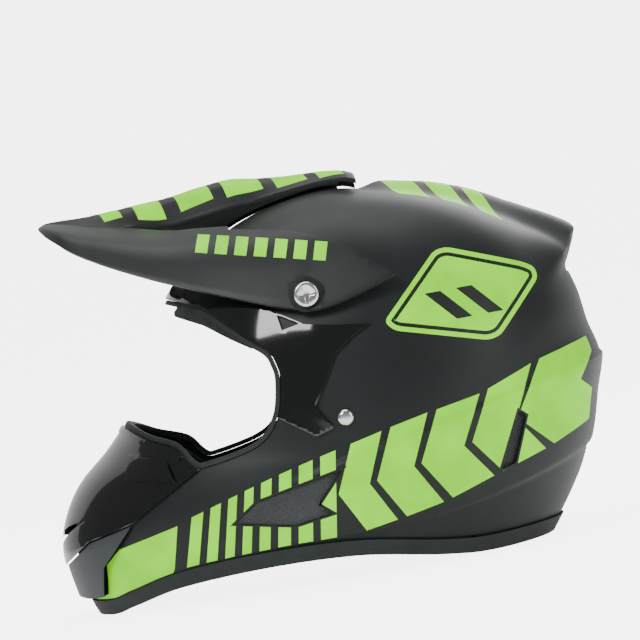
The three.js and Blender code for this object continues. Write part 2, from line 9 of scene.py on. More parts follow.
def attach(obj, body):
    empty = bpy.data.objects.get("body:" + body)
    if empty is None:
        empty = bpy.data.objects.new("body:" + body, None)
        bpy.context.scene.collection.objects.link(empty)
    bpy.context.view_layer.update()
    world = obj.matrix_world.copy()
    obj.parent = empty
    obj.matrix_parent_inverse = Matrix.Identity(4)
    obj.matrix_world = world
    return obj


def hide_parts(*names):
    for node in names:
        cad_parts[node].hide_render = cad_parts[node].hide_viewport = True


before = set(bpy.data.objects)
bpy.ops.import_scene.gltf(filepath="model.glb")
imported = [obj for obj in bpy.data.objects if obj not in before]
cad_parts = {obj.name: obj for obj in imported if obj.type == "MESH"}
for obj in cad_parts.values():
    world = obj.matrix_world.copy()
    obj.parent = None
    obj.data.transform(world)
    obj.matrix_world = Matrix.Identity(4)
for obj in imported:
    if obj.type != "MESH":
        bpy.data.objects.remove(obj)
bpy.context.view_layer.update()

bl_info = {
    "name": "Motocross Helmet",
    "version": (1, 0, 0),
    "blender": (4, 5, 0),
    "location": "View3D > Sidebar > Helmet",
    "description": "Builds a padded off-road helmet with its peak, trims, graphics and chin strap",
    "category": "Object",
}

# Outlines are in millimetres, seen from the side as (x, z) unless they say otherwise.
EAR = (-40.0, 74.0)
PIVOT = (-2.0, 179.0)
RIVET = (-12.0, 100.0)
TOP_FULLNESS = 0.75
WIDE = 200.0
GAP = 0.3

SHELL_OUTLINE = [
    (176, 45), (172, 62), (160, 84), (141, 104), (124, 126), (111, 150), (100, 172), (87, 194), (68, 213),
    (42, 230), (10, 241), (-25, 245), (-55, 240), (-90, 231), (-122, 217), (-147, 200), (-162, 184),
    (-171, 168), (-176, 152), (-179, 130), (-183.1, 110), (-176, 86), (-168, 60), (-157, 36), (-136, 6),
    (-115, -18), (-80, -36), (-30, -44), (30, -42), (90, -34), (140, -24), (160, -10), (169, 4), (174, 24),
]
LIP_OUTLINE = [
    (-100, 227.5), (-122, 216), (-149, 200.5), (-171, 187), (-176, 182.5), (-175, 177), (-171.5, 168.5),
]
RIDGE_OUTLINE = [
    (-46, 241), (-60, 244.5), (-76, 241.5), (-94, 237.5), (-110, 232), (-139, 217.5), (-154, 209.5),
    (-179, 195), (-181.5, 191), (-178.5, 183), (-174.5, 175), (-171.5, 168.5),
]
EYEPORT_RIM = [
    (104, 200), (90, 194), (66.5, 183.5), (52, 170.5), (40, 159), (28, 148.5), (24.5, 140), (23.5, 131),
    (26.5, 115), (30.5, 105.5), (38, 96), (48, 90.5), (62.5, 87), (79.5, 84.5), (85, 85), (90, 90),
    (95, 97.5), (101, 101.5), (115, 107.5), (132, 118), (150, 124),
]
BOTTOM_EDGE = [
    (190, 0), (158, 0), (141, 4.5), (108, 12.5), (55, 16), (-5, 13.5), (-60, 3.5), (-96, 0), (-190, 0),
]
SCOOP = [(68, 47), (52, 58), (-4, 69), (14, 50), (6, 43), (30, 39.5)]
SIDE_VENT = [(-101, 50), (-118.5, 84), (-123, 80), (-111, 52)]
MOUTH = [(-48, 64), (-24, 54), (0, 45), (24, 54), (48, 64), (24, 60), (0, 54), (-24, 60)]
EXHAUST = [(-28, 164), (28, 164), (31, 170), (0, 181), (-31, 170)]


# ------------------------------------------------------------------------------------ curves
def smooth(a, b, x):
    t = np.clip((x - a) / (b - a), 0, 1)
    return t * t * (3 - 2 * t)


def mix(a, b, t):
    return a + (b - a) * t


def through(pairs):
    """A smooth value through (position, value) pairs."""
    xs = np.array([p[0] for p in pairs], float)
    ys = np.array([p[1] for p in pairs], float)
    low = np.maximum(np.arange(len(xs)) - 1, 0)
    high = np.minimum(np.arange(len(xs)) + 1, len(xs) - 1)
    slope = (ys[high] - ys[low]) / (xs[high] - xs[low])

    def value(x):
        x = np.asarray(x, float)
        i = np.clip(np.searchsorted(xs, x, side="right") - 1, 0, len(xs) - 2)
        h = xs[i + 1] - xs[i]
        t = np.clip((x - xs[i]) / h, 0, 1)
        return (
            ys[i] * (1 + 2 * t) * (1 - t) ** 2 + slope[i] * h * t * (1 - t) ** 2
            + ys[i + 1] * t * t * (3 - 2 * t) - slope[i + 1] * h * t * t * (1 - t)
        )

    return value


def curved(points, steps):
    """An open line through the points, in even steps of its parameter."""
    p = np.array(points, float)
    out = []
    for k in range(steps + 1):
        at = (len(p) - 1) * k / steps
        i = min(int(at), len(p) - 1)
        w = at - i
        last = len(p) - 1
        p0, p1, p2, p3 = p[max(i - 1, 0)], p[i], p[min(i + 1, last)], p[min(i + 2, last)]
        v0, v1 = (p2 - p0) / 2, (p3 - p1) / 2
        out.append((2 * p1 - 2 * p2 + v0 + v1) * w ** 3 + (-3 * p1 + 3 * p2 - 2 * v0 - v1) * w * w + v0 * w + p1)
    return [tuple(q) for q in out]


def beside(points, distance):
    p = np.array(points, float)
    along = np.gradient(p, axis=0)
    along /= np.linalg.norm(along, axis=1)[:, None]
    return [tuple(q) for q in p + distance * np.stack([-along[:, 1], along[:, 0]], 1)]


def band(points, a, b):
    return beside(points, a) + beside(points, b)[::-1]


def inset(points, distance):
    """A closed outline with every edge moved inwards."""
    p = np.array(points, float)
    nxt, prv = np.roll(p, -1, 0), np.roll(p, 1, 0)
    area = np.sum(p[:, 0] * nxt[:, 1] - nxt[:, 0] * p[:, 1])

    def normal(a, b):
        d = b - a
        n = np.stack([-d[:, 1], d[:, 0]], 1)
        return n / np.linalg.norm(n, axis=1)[:, None] * np.sign(area)

    before, after = normal(prv, p), normal(p, nxt)
    way = before + after
    way /= np.linalg.norm(way, axis=1)[:, None]
    return [tuple(q) for q in p + way * (distance / np.sum(way * before, 1))[:, None]]


def rounded(points, radius, steps=4):
    """A closed outline with its corners rounded."""
    p = [np.array(q, float) for q in points]
    out = []
    for i, corner in enumerate(p):
        a, b = p[i - 1] - corner, p[(i + 1) % len(p)] - corner
        la, lb = np.linalg.norm(a), np.linalg.norm(b)
        r = min(radius, la * 0.45, lb * 0.45)
        start, end = corner + a / la * r, corner + b / lb * r
        for k in range(steps + 1):
            t = k / steps
            out.append(tuple((1 - t) ** 2 * start + 2 * t * (1 - t) * corner + t * t * end))
    return out


# ------------------------------------------------------------------------------------ the shell's surface
def from_ear(points):
    p = np.array(points, float) - EAR
    return np.arctan2(p[:, 1], p[:, 0]), np.hypot(p[:, 0], p[:, 1])


def closed_reach(outline):
    p = np.array(outline, float)
    n = len(p)
    line = []
    for i in range(n):
        p0, p1, p2, p3 = p[i - 1], p[i], p[(i + 1) % n], p[(i + 2) % n]
        d0, d1, d2 = (np.linalg.norm(b - a) ** 0.5 for a, b in ((p0, p1), (p1, p2), (p2, p3)))
        t1 = ((p1 - p0) / d0 - (p2 - p0) / (d0 + d1) + (p2 - p1) / d1) * d1
        t2 = ((p2 - p1) / d1 - (p3 - p1) / (d1 + d2) + (p3 - p2) / d2) * d1
        for k in range(15):
            t = k / 15
            line.append(
                p1 + t1 * t + (-3 * p1 + 3 * p2 - 2 * t1 - t2) * t * t + (2 * p1 - 2 * p2 + t1 + t2) * t ** 3
            )
    angle, reach = from_ear(line)
    order = np.argsort(angle)
    angle, reach = angle[order], reach[order]
    angle = np.concatenate([[angle[-1] - 2 * np.pi], angle, [angle[0] + 2 * np.pi]])
    reach = np.concatenate([[reach[-1]], reach, [reach[0]]])
    return lambda a: np.interp(a, angle, reach)


shell_reach = closed_reach(SHELL_OUTLINE)


def overlay_reach(outline):
    angle, reach = from_ear(outline)
    angle = np.where(angle < 0, angle + 2 * np.pi, angle)

    def value(a):
        turned = np.where(a < 0, a + 2 * np.pi, a)
        here = np.interp(turned, angle, reach, left=0, right=0)
        return np.maximum(shell_reach(a), here)

    return value


lip_reach = overlay_reach(LIP_OUTLINE)
ridge_reach = overlay_reach(RIDGE_OUTLINE)


def belt(x, z, soft=1.0):
    back = np.maximum(0, -32 - x)
    upper = 73 - 0.2 * x
    lower = 28.2 + 0.05 * back + 0.001 * back ** 2
    across = smooth(lower - 2 * soft, lower + 3 * soft, z) * (1 - smooth(upper - 3 * soft, upper + 3 * soft, z))
    return across * (1 - smooth(-40, 60, x))


def shell_points(d, offset=0.0, plain=False, soft=0.7):
    """Points of the shell's surface, moved out by offset, for directions on the unit sphere."""
    angle = np.arctan2(d[:, 2], d[:, 0])
    full = 2 + TOP_FULLNESS * np.maximum(0, np.sin(angle)) ** 2
    reach = np.hypot(d[:, 0], d[:, 2]) ** (2 / full)
    side = np.sign(d[:, 1]) * np.abs(d[:, 1]) ** (2 / full)
    half = bpy.context.scene.helmet_sizes.shell_half_width * 1000
    base = shell_reach(angle)
    if plain:
        radius = base
    else:
        aside = np.abs(side) * half
        lip = mix(lip_reach(angle), base, smooth(30, 72, aside))
        radius = mix(np.maximum(lip, ridge_reach(angle)), lip, smooth(12, 38, aside))

    def at(extra):
        return np.stack([
            EAR[0] + (radius + extra) * reach * np.cos(angle),
            side * (half + extra),
            EAR[1] + (radius + extra) * reach * np.sin(angle),
        ], 1)

    first = at(np.zeros(len(d)))
    x, z = first[:, 0], first[:, 2]
    extra = offset(first) if callable(offset) else np.full(len(d), float(offset))
    if not plain:
        extra = extra + 2.5 * belt(x, z, soft)
    return at(extra)


# ------------------------------------------------------------------------------------ making meshes
def add_object(name, mesh):
    obj = bpy.data.objects.new(name, mesh)
    bpy.context.scene.collection.objects.link(obj)
    return obj


def from_bmesh(name, bm):
    mesh = bpy.data.meshes.new(name)
    bm.to_mesh(mesh)
    bm.free()
    return add_object(name, mesh)


def move_points(obj, place):
    mesh = obj.data
    co = np.empty(len(mesh.vertices) * 3)
    mesh.vertices.foreach_get("co", co)
    mesh.vertices.foreach_set("co", np.asarray(place(co.reshape(-1, 3)), float).ravel())
    mesh.update()
    return obj


def shell_body(offset=0.0, plain=False, around=300):
    """The full body of the shell with no openings."""
    bm = bmesh.new()
    bmesh.ops.create_uvsphere(bm, u_segments=around, v_segments=around // 2, radius=1)
    bmesh.ops.rotate(bm, verts=bm.verts, cent=(0, 0, 0), matrix=Matrix.Rotation(math.pi / 2, 3, "X"))
    obj = from_bmesh("body", bm)
    return move_points(obj, lambda d: shell_points(d / np.linalg.norm(d, axis=1)[:, None], offset, plain))


def prism(outlines, axis, low, high):
    """Closed outlines made solid along an axis. They mustn't touch each other."""
    place = {
        "x": lambda a, b, c: (c, a, b),
        "y": lambda a, b, c: (a, c, b),
        "z": lambda a, b, c: (a, b, c),
    }[axis]
    bm = bmesh.new()
    for outline in outlines:
        face = bm.faces.new([bm.verts.new(place(a, b, low)) for a, b in outline])
        made = bmesh.ops.extrude_face_region(bm, geom=[face])
        moved = [v for v in made["geom"] if isinstance(v, bmesh.types.BMVert)]
        bmesh.ops.translate(bm, verts=moved, vec=place(0, 0, high - low))
    bmesh.ops.recalc_face_normals(bm, faces=bm.faces)
    return from_bmesh("prism", bm)


def bar(axis, centre, radius, low, high, sides=48, top=None):
    """A round bar. top is the radius at its high end where it tapers."""
    bm = bmesh.new()
    bmesh.ops.create_cone(
        bm, cap_ends=True, segments=sides, radius1=radius, radius2=radius if top is None else top,
        depth=high - low,
    )
    turn = {"z": Matrix(), "y": Matrix.Rotation(-math.pi / 2, 4, "X"), "x": Matrix.Rotation(math.pi / 2, 4, "Y")}
    middle = (low + high) / 2
    at = {"z": (centre[0], centre[1], middle), "y": (centre[0], middle, centre[1]), "x": (middle, *centre)}
    bmesh.ops.transform(bm, verts=bm.verts, matrix=Matrix.Translation(at[axis]) @ turn[axis])
    return from_bmesh("bar", bm)


def drop(obj):
    mesh = obj.data
    bpy.data.objects.remove(obj)
    if mesh.users == 0:
        bpy.data.meshes.remove(mesh)


def applied(obj):
    """The object with its modifiers made real."""
    graph = bpy.context.evaluated_depsgraph_get()
    mesh = bpy.data.meshes.new_from_object(obj.evaluated_get(graph))
    old = obj.data
    obj.modifiers.clear()
    obj.data = mesh
    if old.users == 0:
        bpy.data.meshes.remove(old)
    return obj


def combine(obj, how, *tools):
    """Cuts, joins or intersects obj with the tools, which are used up."""
    for tool in tools:
        mod = obj.modifiers.new("shape", "BOOLEAN")
        mod.operation = how
        mod.solver = "MANIFOLD"
        mod.object = tool
        applied(obj)
        drop(tool)
    if not obj.data.vertices:
        raise RuntimeError(f"{obj.name} came out empty")
    return obj


def mirrored(obj, name=None):
    """A copy on the helmet's other side."""
    copy = add_object(name or obj.name, obj.data.copy())
    copy.data.transform(Matrix.Scale(-1, 4, (0, 1, 0)))
    copy.data.flip_normals()
    return copy


def both(make):
    one = make()
    return one, mirrored(one)


def soften(obj, width, segments=2, angle=40, clean=0.6):
    """Small round edges where faces meet sharply. Short edges along them are merged first."""
    bm = bmesh.new()
    bm.from_mesh(obj.data)

    def sharp():
        limit = math.radians(angle)
        return [e for e in bm.edges if e.is_manifold and e.calc_face_angle(0) > limit]

    if clean:
        rim = list({v for e in sharp() for v in e.verts})
        bmesh.ops.remove_doubles(bm, verts=rim, dist=clean)
        rim = list({v for e in sharp() for v in e.verts})
        near = bmesh.ops.find_doubles(bm, verts=bm.verts, keep_verts=rim, dist=clean * 0.8)
        bmesh.ops.weld_verts(bm, targetmap=near["targetmap"])
        bmesh.ops.dissolve_degenerate(bm, dist=0.01, edges=bm.edges)
    if width:
        bmesh.ops.bevel(
            bm, geom=sharp(), offset=width, segments=segments, affect="EDGES", profile=0.5, material=-1,
            clamp_overlap=True,
        )
    bm.to_mesh(obj.data)
    bm.free()
    return obj


def finish_piece(obj, name, material, bodies="helmet", replaces=(), smooth_angle=35):
    """Names a piece made in millimetres, brings it to metres and hands it to the frame."""
    obj.name = name
    obj.data.name = name
    obj.data.transform(Matrix.Scale(0.001, 4))
    obj.data.materials.clear()
    obj.data.materials.append(material)
    mesh = obj.data
    mesh.shade_smooth()
    mesh.set_sharp_from_angle(angle=math.radians(smooth_angle))
    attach(obj, bodies)
    if replaces:
        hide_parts(*replaces)
    return obj


# ------------------------------------------------------------------------------------ materials
def node(tree, kind, label=None, **values):
    made = tree.nodes.new(kind)
    if label:
        made.label = label
    for key, value in values.items():
        if key in made.inputs:
            made.inputs[key].default_value = value
        elif hasattr(made, key):
            setattr(made, key, value)
        else:
            made.inputs[key.replace("_", " ")].default_value = value
    return made


def group(name, inputs, outputs):
    tree = bpy.data.node_groups.new(name, "ShaderNodeTree")
    for label, kind, default in inputs:
        made = tree.interface.new_socket(name=label, in_out="INPUT", socket_type=kind)
        if default is not None:
            made.default_value = default
    for label, kind in outputs:
        tree.interface.new_socket(name=label, in_out="OUTPUT", socket_type=kind)
    return tree, tree.nodes.new("NodeGroupInput"), tree.nodes.new("NodeGroupOutput")


def make_groups():
    """Effects that several finishes share."""
    tree, enter, leave = group(
        "moulded_grain",
        [("Scale", "NodeSocketFloat", 900.0), ("Wave", "NodeSocketFloat", 60.0)],
        [("Height", "NodeSocketFloat"), ("Mottle", "NodeSocketFloat")],
    )
    place = node(tree, "ShaderNodeTexCoord")
    fine = node(tree, "ShaderNodeTexNoise", Detail=4.0, Roughness=0.6)
    broad = node(tree, "ShaderNodeTexNoise", Detail=2.0)
    add = node(tree, "ShaderNodeMath", operation="MULTIPLY_ADD")
    add.inputs[1].default_value = 0.6
    tree.links.new(place.outputs["Object"], fine.inputs["Vector"])
    tree.links.new(place.outputs["Object"], broad.inputs["Vector"])
    tree.links.new(enter.outputs["Scale"], fine.inputs["Scale"])
    tree.links.new(enter.outputs["Wave"], broad.inputs["Scale"])
    tree.links.new(fine.outputs["Fac"], add.inputs[0])
    tree.links.new(broad.outputs["Fac"], add.inputs[2])
    tree.links.new(add.outputs[0], leave.inputs["Height"])
    tree.links.new(broad.outputs["Fac"], leave.inputs["Mottle"])

    tree, enter, leave = group(
        "light_wear",
        [("Scale", "NodeSocketFloat", 14.0), ("Amount", "NodeSocketFloat", 0.5)],
        [("Mask", "NodeSocketFloat"), ("Dust", "NodeSocketFloat")],
    )
    place = node(tree, "ShaderNodeTexCoord")
    stretch = node(tree, "ShaderNodeMapping")
    stretch.inputs["Rotation"].default_value = (0.3, 0.5, 0.9)
    stretch.inputs["Scale"].default_value = (1.0, 9.0, 1.6)
    scratch = node(tree, "ShaderNodeTexNoise", Detail=5.0, Roughness=0.65)
    cloud = node(tree, "ShaderNodeTexNoise", Detail=3.0)
    thin = node(tree, "ShaderNodeMapRange")
    thin.inputs["From Min"].default_value = 0.62
    thin.inputs["From Max"].default_value = 0.74
    times = node(tree, "ShaderNodeMath", operation="MULTIPLY")
    tree.links.new(place.outputs["Object"], stretch.inputs["Vector"])
    tree.links.new(stretch.outputs["Vector"], scratch.inputs["Vector"])
    tree.links.new(place.outputs["Object"], cloud.inputs["Vector"])
    tree.links.new(enter.outputs["Scale"], scratch.inputs["Scale"])
    tree.links.new(enter.outputs["Scale"], cloud.inputs["Scale"])
    tree.links.new(scratch.outputs["Fac"], thin.inputs["Value"])
    tree.links.new(thin.outputs["Result"], times.inputs[0])
    tree.links.new(enter.outputs["Amount"], times.inputs[1])
    tree.links.new(times.outputs[0], leave.inputs["Mask"])
    tree.links.new(cloud.outputs["Fac"], leave.inputs["Dust"])

    tree, enter, leave = group(
        "diamond_mesh",
        [("Scale", "NodeSocketFloat", 500.0), ("Vector", "NodeSocketVector", None)],
        [("Thread", "NodeSocketFloat"), ("Height", "NodeSocketFloat")],
    )
    waves = []
    for turn in (math.radians(38), math.radians(-38)):
        spin = node(tree, "ShaderNodeMapping")
        spin.inputs["Rotation"].default_value = (0.0, turn, turn)
        wave = node(tree, "ShaderNodeTexWave", wave_type="BANDS", bands_direction="X", Distortion=0.4)
        wave.inputs["Detail"].default_value = 1.0
        tree.links.new(enter.outputs["Vector"], spin.inputs["Vector"])
        tree.links.new(spin.outputs["Vector"], wave.inputs["Vector"])
        tree.links.new(enter.outputs["Scale"], wave.inputs["Scale"])
        waves.append(wave)
    most = node(tree, "ShaderNodeMath", operation="MAXIMUM")
    tree.links.new(waves[0].outputs["Fac"], most.inputs[0])
    tree.links.new(waves[1].outputs["Fac"], most.inputs[1])
    crisp = node(tree, "ShaderNodeMapRange")
    crisp.inputs["From Min"].default_value = 0.72
    crisp.inputs["From Max"].default_value = 0.9
    tree.links.new(most.outputs[0], crisp.inputs["Value"])
    tree.links.new(crisp.outputs["Result"], leave.inputs["Thread"])
    tree.links.new(most.outputs[0], leave.inputs["Height"])


class Finish:
    """One material under construction."""

    def __init__(self, name, **sockets):
        self.material = bpy.data.materials.new(name)
        self.material.use_nodes = True
        self.tree = self.material.node_tree
        self.shader = self.tree.nodes["Principled BSDF"]
        for key, value in sockets.items():
            self.shader.inputs[key.replace("_", " ")].default_value = value

    def add(self, kind, **values):
        return node(self.tree, kind, **values)

    def link(self, a, b):
        self.tree.links.new(a, b)

    def group(self, name, **values):
        made = self.tree.nodes.new("ShaderNodeGroup")
        made.node_tree = bpy.data.node_groups[name]
        for key, value in values.items():
            made.inputs[key].default_value = value
        return made

    def blend(self, mask, low, high):
        """A colour between two, by a mask."""
        ramp = self.add("ShaderNodeMix", data_type="RGBA")
        ramp.inputs[6].default_value = (*low, 1)
        ramp.inputs[7].default_value = (*high, 1)
        self.link(mask, ramp.inputs[0])
        return ramp.outputs[2]

    def range(self, mask, low, high, start=0.0, end=1.0):
        made = self.add("ShaderNodeMapRange")
        made.inputs["From Min"].default_value = start
        made.inputs["From Max"].default_value = end
        made.inputs["To Min"].default_value = low
        made.inputs["To Max"].default_value = high
        self.link(mask, made.inputs["Value"])
        return made.outputs["Result"]

    def bump(self, height, strength, distance):
        made = self.add("ShaderNodeBump")
        made.inputs["Strength"].default_value = strength
        made.inputs["Distance"].default_value = distance
        self.link(height, made.inputs["Height"])
        self.link(made.outputs["Normal"], self.shader.inputs["Normal"])


def scaled(colour, factor):
    return tuple(min(1.0, c * factor) for c in colour[:3])


def plastic(name, colour, rough, spread, grain, wave, bump, wear=0.4, dust=0.0, **sockets):
    """Moulded or painted plastic with a fine grain, mottling and light scratches."""
    f = Finish(name, **sockets)
    grained = f.group("moulded_grain", Scale=grain, Wave=wave)
    worn = f.group("light_wear", Scale=16.0, Amount=wear)
    tone = f.blend(f.range(grained.outputs["Mottle"], 0, 1, 0.35, 0.65), scaled(colour, 0.88), scaled(colour, 1.12))
    last = f.add("ShaderNodeMix", data_type="RGBA")
    last.inputs[7].default_value = (*scaled(colour, 1.8), 1)
    f.link(tone, last.inputs[6])
    f.link(f.range(worn.outputs["Mask"], 0, 0.35 + dust), last.inputs[0])
    f.link(last.outputs[2], f.shader.inputs["Base Color"])
    f.link(f.range(worn.outputs["Dust"], rough - spread, rough + spread, 0.3, 0.7), f.shader.inputs["Roughness"])
    f.bump(grained.outputs["Height"], bump[0], bump[1])
    return f.material


def make_materials():
    c = bpy.context.scene.helmet_colours
    m = {}
    m["shell"] = plastic("matte_charcoal", c.shell, 0.46, 0.04, 1600.0, 30.0, (0.12, 0.0002),
                         Specular_IOR_Level=0.32, Sheen_Weight=0.05, Sheen_Roughness=0.5)
    # The green film is given a faint glow in its own colour: painted light that makes it brighter and more saturated
    # than the lamps alone would.
    m["green"] = plastic("acid_green_film_painted_glow", c.graphics, 0.42, 0.05, 1200.0, 40.0, (0.1, 0.0002), wear=0.1,
                         Specular_IOR_Level=0.12, Emission_Color=(*c.graphics, 1), Emission_Strength=0.16)
    m["gloss"] = plastic("gloss_black", c.trim, 0.08, 0.03, 400.0, 22.0, (0.012, 0.0002), wear=0.25,
                         Specular_IOR_Level=0.5, Coat_Weight=0.6, Coat_Roughness=0.05)
    m["lip"] = plastic("satin_grey", c.lip_panel, 0.45, 0.05, 1800.0, 40.0, (0.18, 0.0002), Specular_IOR_Level=0.35)
    m["rubber"] = plastic("edge_rubber", c.rubber, 0.62, 0.05, 1400.0, 60.0, (0.25, 0.0003), Specular_IOR_Level=0.3)
    m["foam"] = bead_foam("impact_foam", c.foam)
    m["lining"] = mesh_fabric("lining_mesh", c.lining, 950.0)
    m["pad"] = mesh_fabric("pad_fabric", scaled(c.lining, 0.8), 1300.0)
    m["webbing"] = woven("strap_webbing", c.webbing)
    m["grille"] = grille_mesh("vent_mesh", c.grille)
    m["chrome"] = metal("bright_steel", (0.82, 0.83, 0.85), 0.16)
    m["zinc"] = metal("zinc_steel", (0.55, 0.56, 0.58), 0.36)
    m["mark"] = plastic("pale_print", (0.32, 0.34, 0.35), 0.5, 0.05, 1200.0, 40.0, (0.1, 0.0002), wear=0.2,
                        Specular_IOR_Level=0.3)
    return m


def bead_foam(name, colour):
    f = Finish(name, Specular_IOR_Level=0.25)
    place = f.add("ShaderNodeTexCoord")
    beads = f.add("ShaderNodeTexVoronoi", Scale=320.0)
    f.link(place.outputs["Object"], beads.inputs["Vector"])
    worn = f.group("light_wear", Scale=20.0, Amount=0.3)
    f.link(f.blend(beads.outputs["Distance"], scaled(colour, 1.3), scaled(colour, 0.6)), f.shader.inputs["Base Color"])
    f.link(f.range(worn.outputs["Dust"], 0.7, 0.9), f.shader.inputs["Roughness"])
    f.bump(beads.outputs["Distance"], 0.5, -0.0006)
    return f.material


def mesh_fabric(name, colour, scale):
    f = Finish(name, Specular_IOR_Level=0.3, Sheen_Weight=0.3, Sheen_Roughness=0.4)
    place = f.add("ShaderNodeTexCoord")
    net = f.group("diamond_mesh", Scale=scale)
    f.link(place.outputs["Object"], net.inputs["Vector"])
    f.link(f.blend(net.outputs["Thread"], scaled(colour, 0.5), scaled(colour, 3.2)), f.shader.inputs["Base Color"])
    f.link(f.range(net.outputs["Thread"], 0.95, 0.6), f.shader.inputs["Roughness"])
    f.bump(net.outputs["Height"], 0.8, 0.0006)
    return f.material


def woven(name, colour):
    """Ribbed webbing: ribs run along the strap, and fine picks run across it."""
    f = Finish(name, Specular_IOR_Level=0.3, Sheen_Weight=0.2, Sheen_Roughness=0.4)
    place = f.add("ShaderNodeTexCoord")
    turn = f.add("ShaderNodeMapping")
    turn.inputs["Rotation"].default_value = (math.radians(45), 0, 0)
    ribs = f.add("ShaderNodeTexWave", wave_type="BANDS", bands_direction="X", Scale=150.0, Distortion=0.2)
    picks = f.add("ShaderNodeTexWave", wave_type="BANDS", bands_direction="Y", Scale=260.0, Distortion=0.3)
    f.link(place.outputs["Object"], turn.inputs["Vector"])
    f.link(turn.outputs["Vector"], ribs.inputs["Vector"])
    f.link(turn.outputs["Vector"], picks.inputs["Vector"])
    weave = f.add("ShaderNodeMath", operation="MULTIPLY")
    f.link(ribs.outputs["Fac"], weave.inputs[0])
    f.link(picks.outputs["Fac"], weave.inputs[1])
    f.link(f.blend(weave.outputs[0], scaled(colour, 0.55), scaled(colour, 2.6)), f.shader.inputs["Base Color"])
    f.link(f.range(weave.outputs[0], 0.9, 0.7), f.shader.inputs["Roughness"])
    f.bump(weave.outputs[0], 0.8, 0.0005)
    return f.material


def grille_mesh(name, colour):
    f = Finish(name, Specular_IOR_Level=0.5)
    place = f.add("ShaderNodeTexCoord")
    net = f.group("diamond_mesh", Scale=560.0)
    f.link(place.outputs["Object"], net.inputs["Vector"])
    # The gaps between the mesh threads are painted near-black: painted shade standing in for the dark vent seen through
    # the open mesh.
    f.link(f.blend(net.outputs["Thread"], (0.003, 0.003, 0.003), scaled(colour, 3.0)), f.shader.inputs["Base Color"])
    f.link(f.range(net.outputs["Thread"], 0.9, 0.35), f.shader.inputs["Roughness"])
    f.link(f.range(net.outputs["Thread"], 0.0, 0.7), f.shader.inputs["Metallic"])
    f.bump(net.outputs["Height"], 1.0, 0.0007)
    return f.material


def metal(name, colour, rough):
    f = Finish(name, Metallic=1.0)
    worn = f.group("light_wear", Scale=120.0, Amount=0.4)
    grained = f.group("moulded_grain", Scale=2500.0, Wave=200.0)
    f.link(f.blend(worn.outputs["Mask"], colour, scaled(colour, 0.6)), f.shader.inputs["Base Color"])
    f.link(f.range(worn.outputs["Dust"], rough - 0.03, rough + 0.04, 0.3, 0.7), f.shader.inputs["Roughness"])
    f.bump(grained.outputs["Height"], 0.08, 0.0002)
    return f.material


MATERIALS = {}
RIM = []


# ------------------------------------------------------------------------------------ shell pieces
def eyeport(inward=0.0):
    return [beside(RIM, inward) + [(330, 140), (330, 215)]]


def bottom_line(up=0.0):
    return [(x, max(0.0, z) + up) for x, z in curved(BOTTOM_EDGE, 90)]


def below_bottom(up):
    return prism([bottom_line(up) + [(-200, -90), (200, -90)]], "y", -WIDE, WIDE)


def bottom_band(low, high):
    return prism([bottom_line(low) + bottom_line(high)[::-1]], "y", -WIDE, WIDE)


def on_shell(outlines, thickness, start=GAP, low=-WIDE, high=WIDE, around=300, axis="y"):
    """A layer that lies on the shell inside outlines."""
    obj = shell_body(thickness, True, around)
    combine(obj, "INTERSECT", prism(outlines, axis, low, high))
    return combine(obj, "DIFFERENCE", shell_body(start, True, around))


def build_shell():
    shell = shell_body(0.0)
    combine(shell, "DIFFERENCE", shell_body(-3.0, True, 200), prism(eyeport(), "y", -WIDE, WIDE), below_bottom(2.3))
    low_band = bottom_band(-1, 10.3)
    combine(low_band, "DIFFERENCE", shell_body(0.0, True))
    combine(shell, "DIFFERENCE", low_band)
    for side in (1, -1):
        ends = (98, 110) if side > 0 else (-110, -98)
        combine(shell, "UNION", bar("y", PIVOT, 10, *ends))
    cutters = [prism([rounded(SCOOP, 3)], "y", 60 * s if s > 0 else -WIDE, WIDE if s > 0 else -60) for s in (1, -1)]
    cutters += [prism([rounded(SIDE_VENT, 2.4)], "y", 50 if s > 0 else -WIDE, WIDE if s > 0 else -50) for s in (1, -1)]
    cutters += [prism([MOUTH], "x", 120, 220), prism([rounded(EXHAUST, 3)], "x", -240, -140)]
    for s in (1, -1):
        cutters += [
            bar("y", PIVOT, 4.8, *sorted((90 * s, 105.3 * s))), bar("y", PIVOT, 3, *sorted((100 * s, 120 * s))),
            bar("y", RIVET, 2.8, *sorted((100 * s, 130 * s))),
        ]
    combine(shell, "DIFFERENCE", *cutters)
    soften(shell, 0.45, 2, 50, 0.5)
    return finish_piece(shell, "shell_skin", MATERIALS["shell"], replaces=["outer_shell"])


def build_edgings():
    trim = shell_body(1.6, True)
    combine(trim, "INTERSECT", bottom_band(0, 10))
    combine(trim, "DIFFERENCE", shell_body(-4.6, True, 200))
    channel = shell_body(0.3, True)
    combine(channel, "INTERSECT", bottom_band(2, 20))
    combine(channel, "DIFFERENCE", shell_body(-3.3, True, 200))
    combine(trim, "DIFFERENCE", channel)
    soften(trim, 0.6, 2, 50)
    finish_piece(trim, "bottom_edging", MATERIALS["rubber"], replaces=["bottom_edge_trim"])
    gasket = shell_body(0.9, True)
    combine(gasket, "INTERSECT", prism([band(RIM, 0.3, 3.3)], "y", -WIDE, WIDE))
    combine(gasket, "DIFFERENCE", shell_body(-5, True, 200))
    soften(gasket, 0.7, 2, 50)
    finish_piece(gasket, "eyeport_edging", MATERIALS["rubber"], replaces=["eyeport_gasket"])


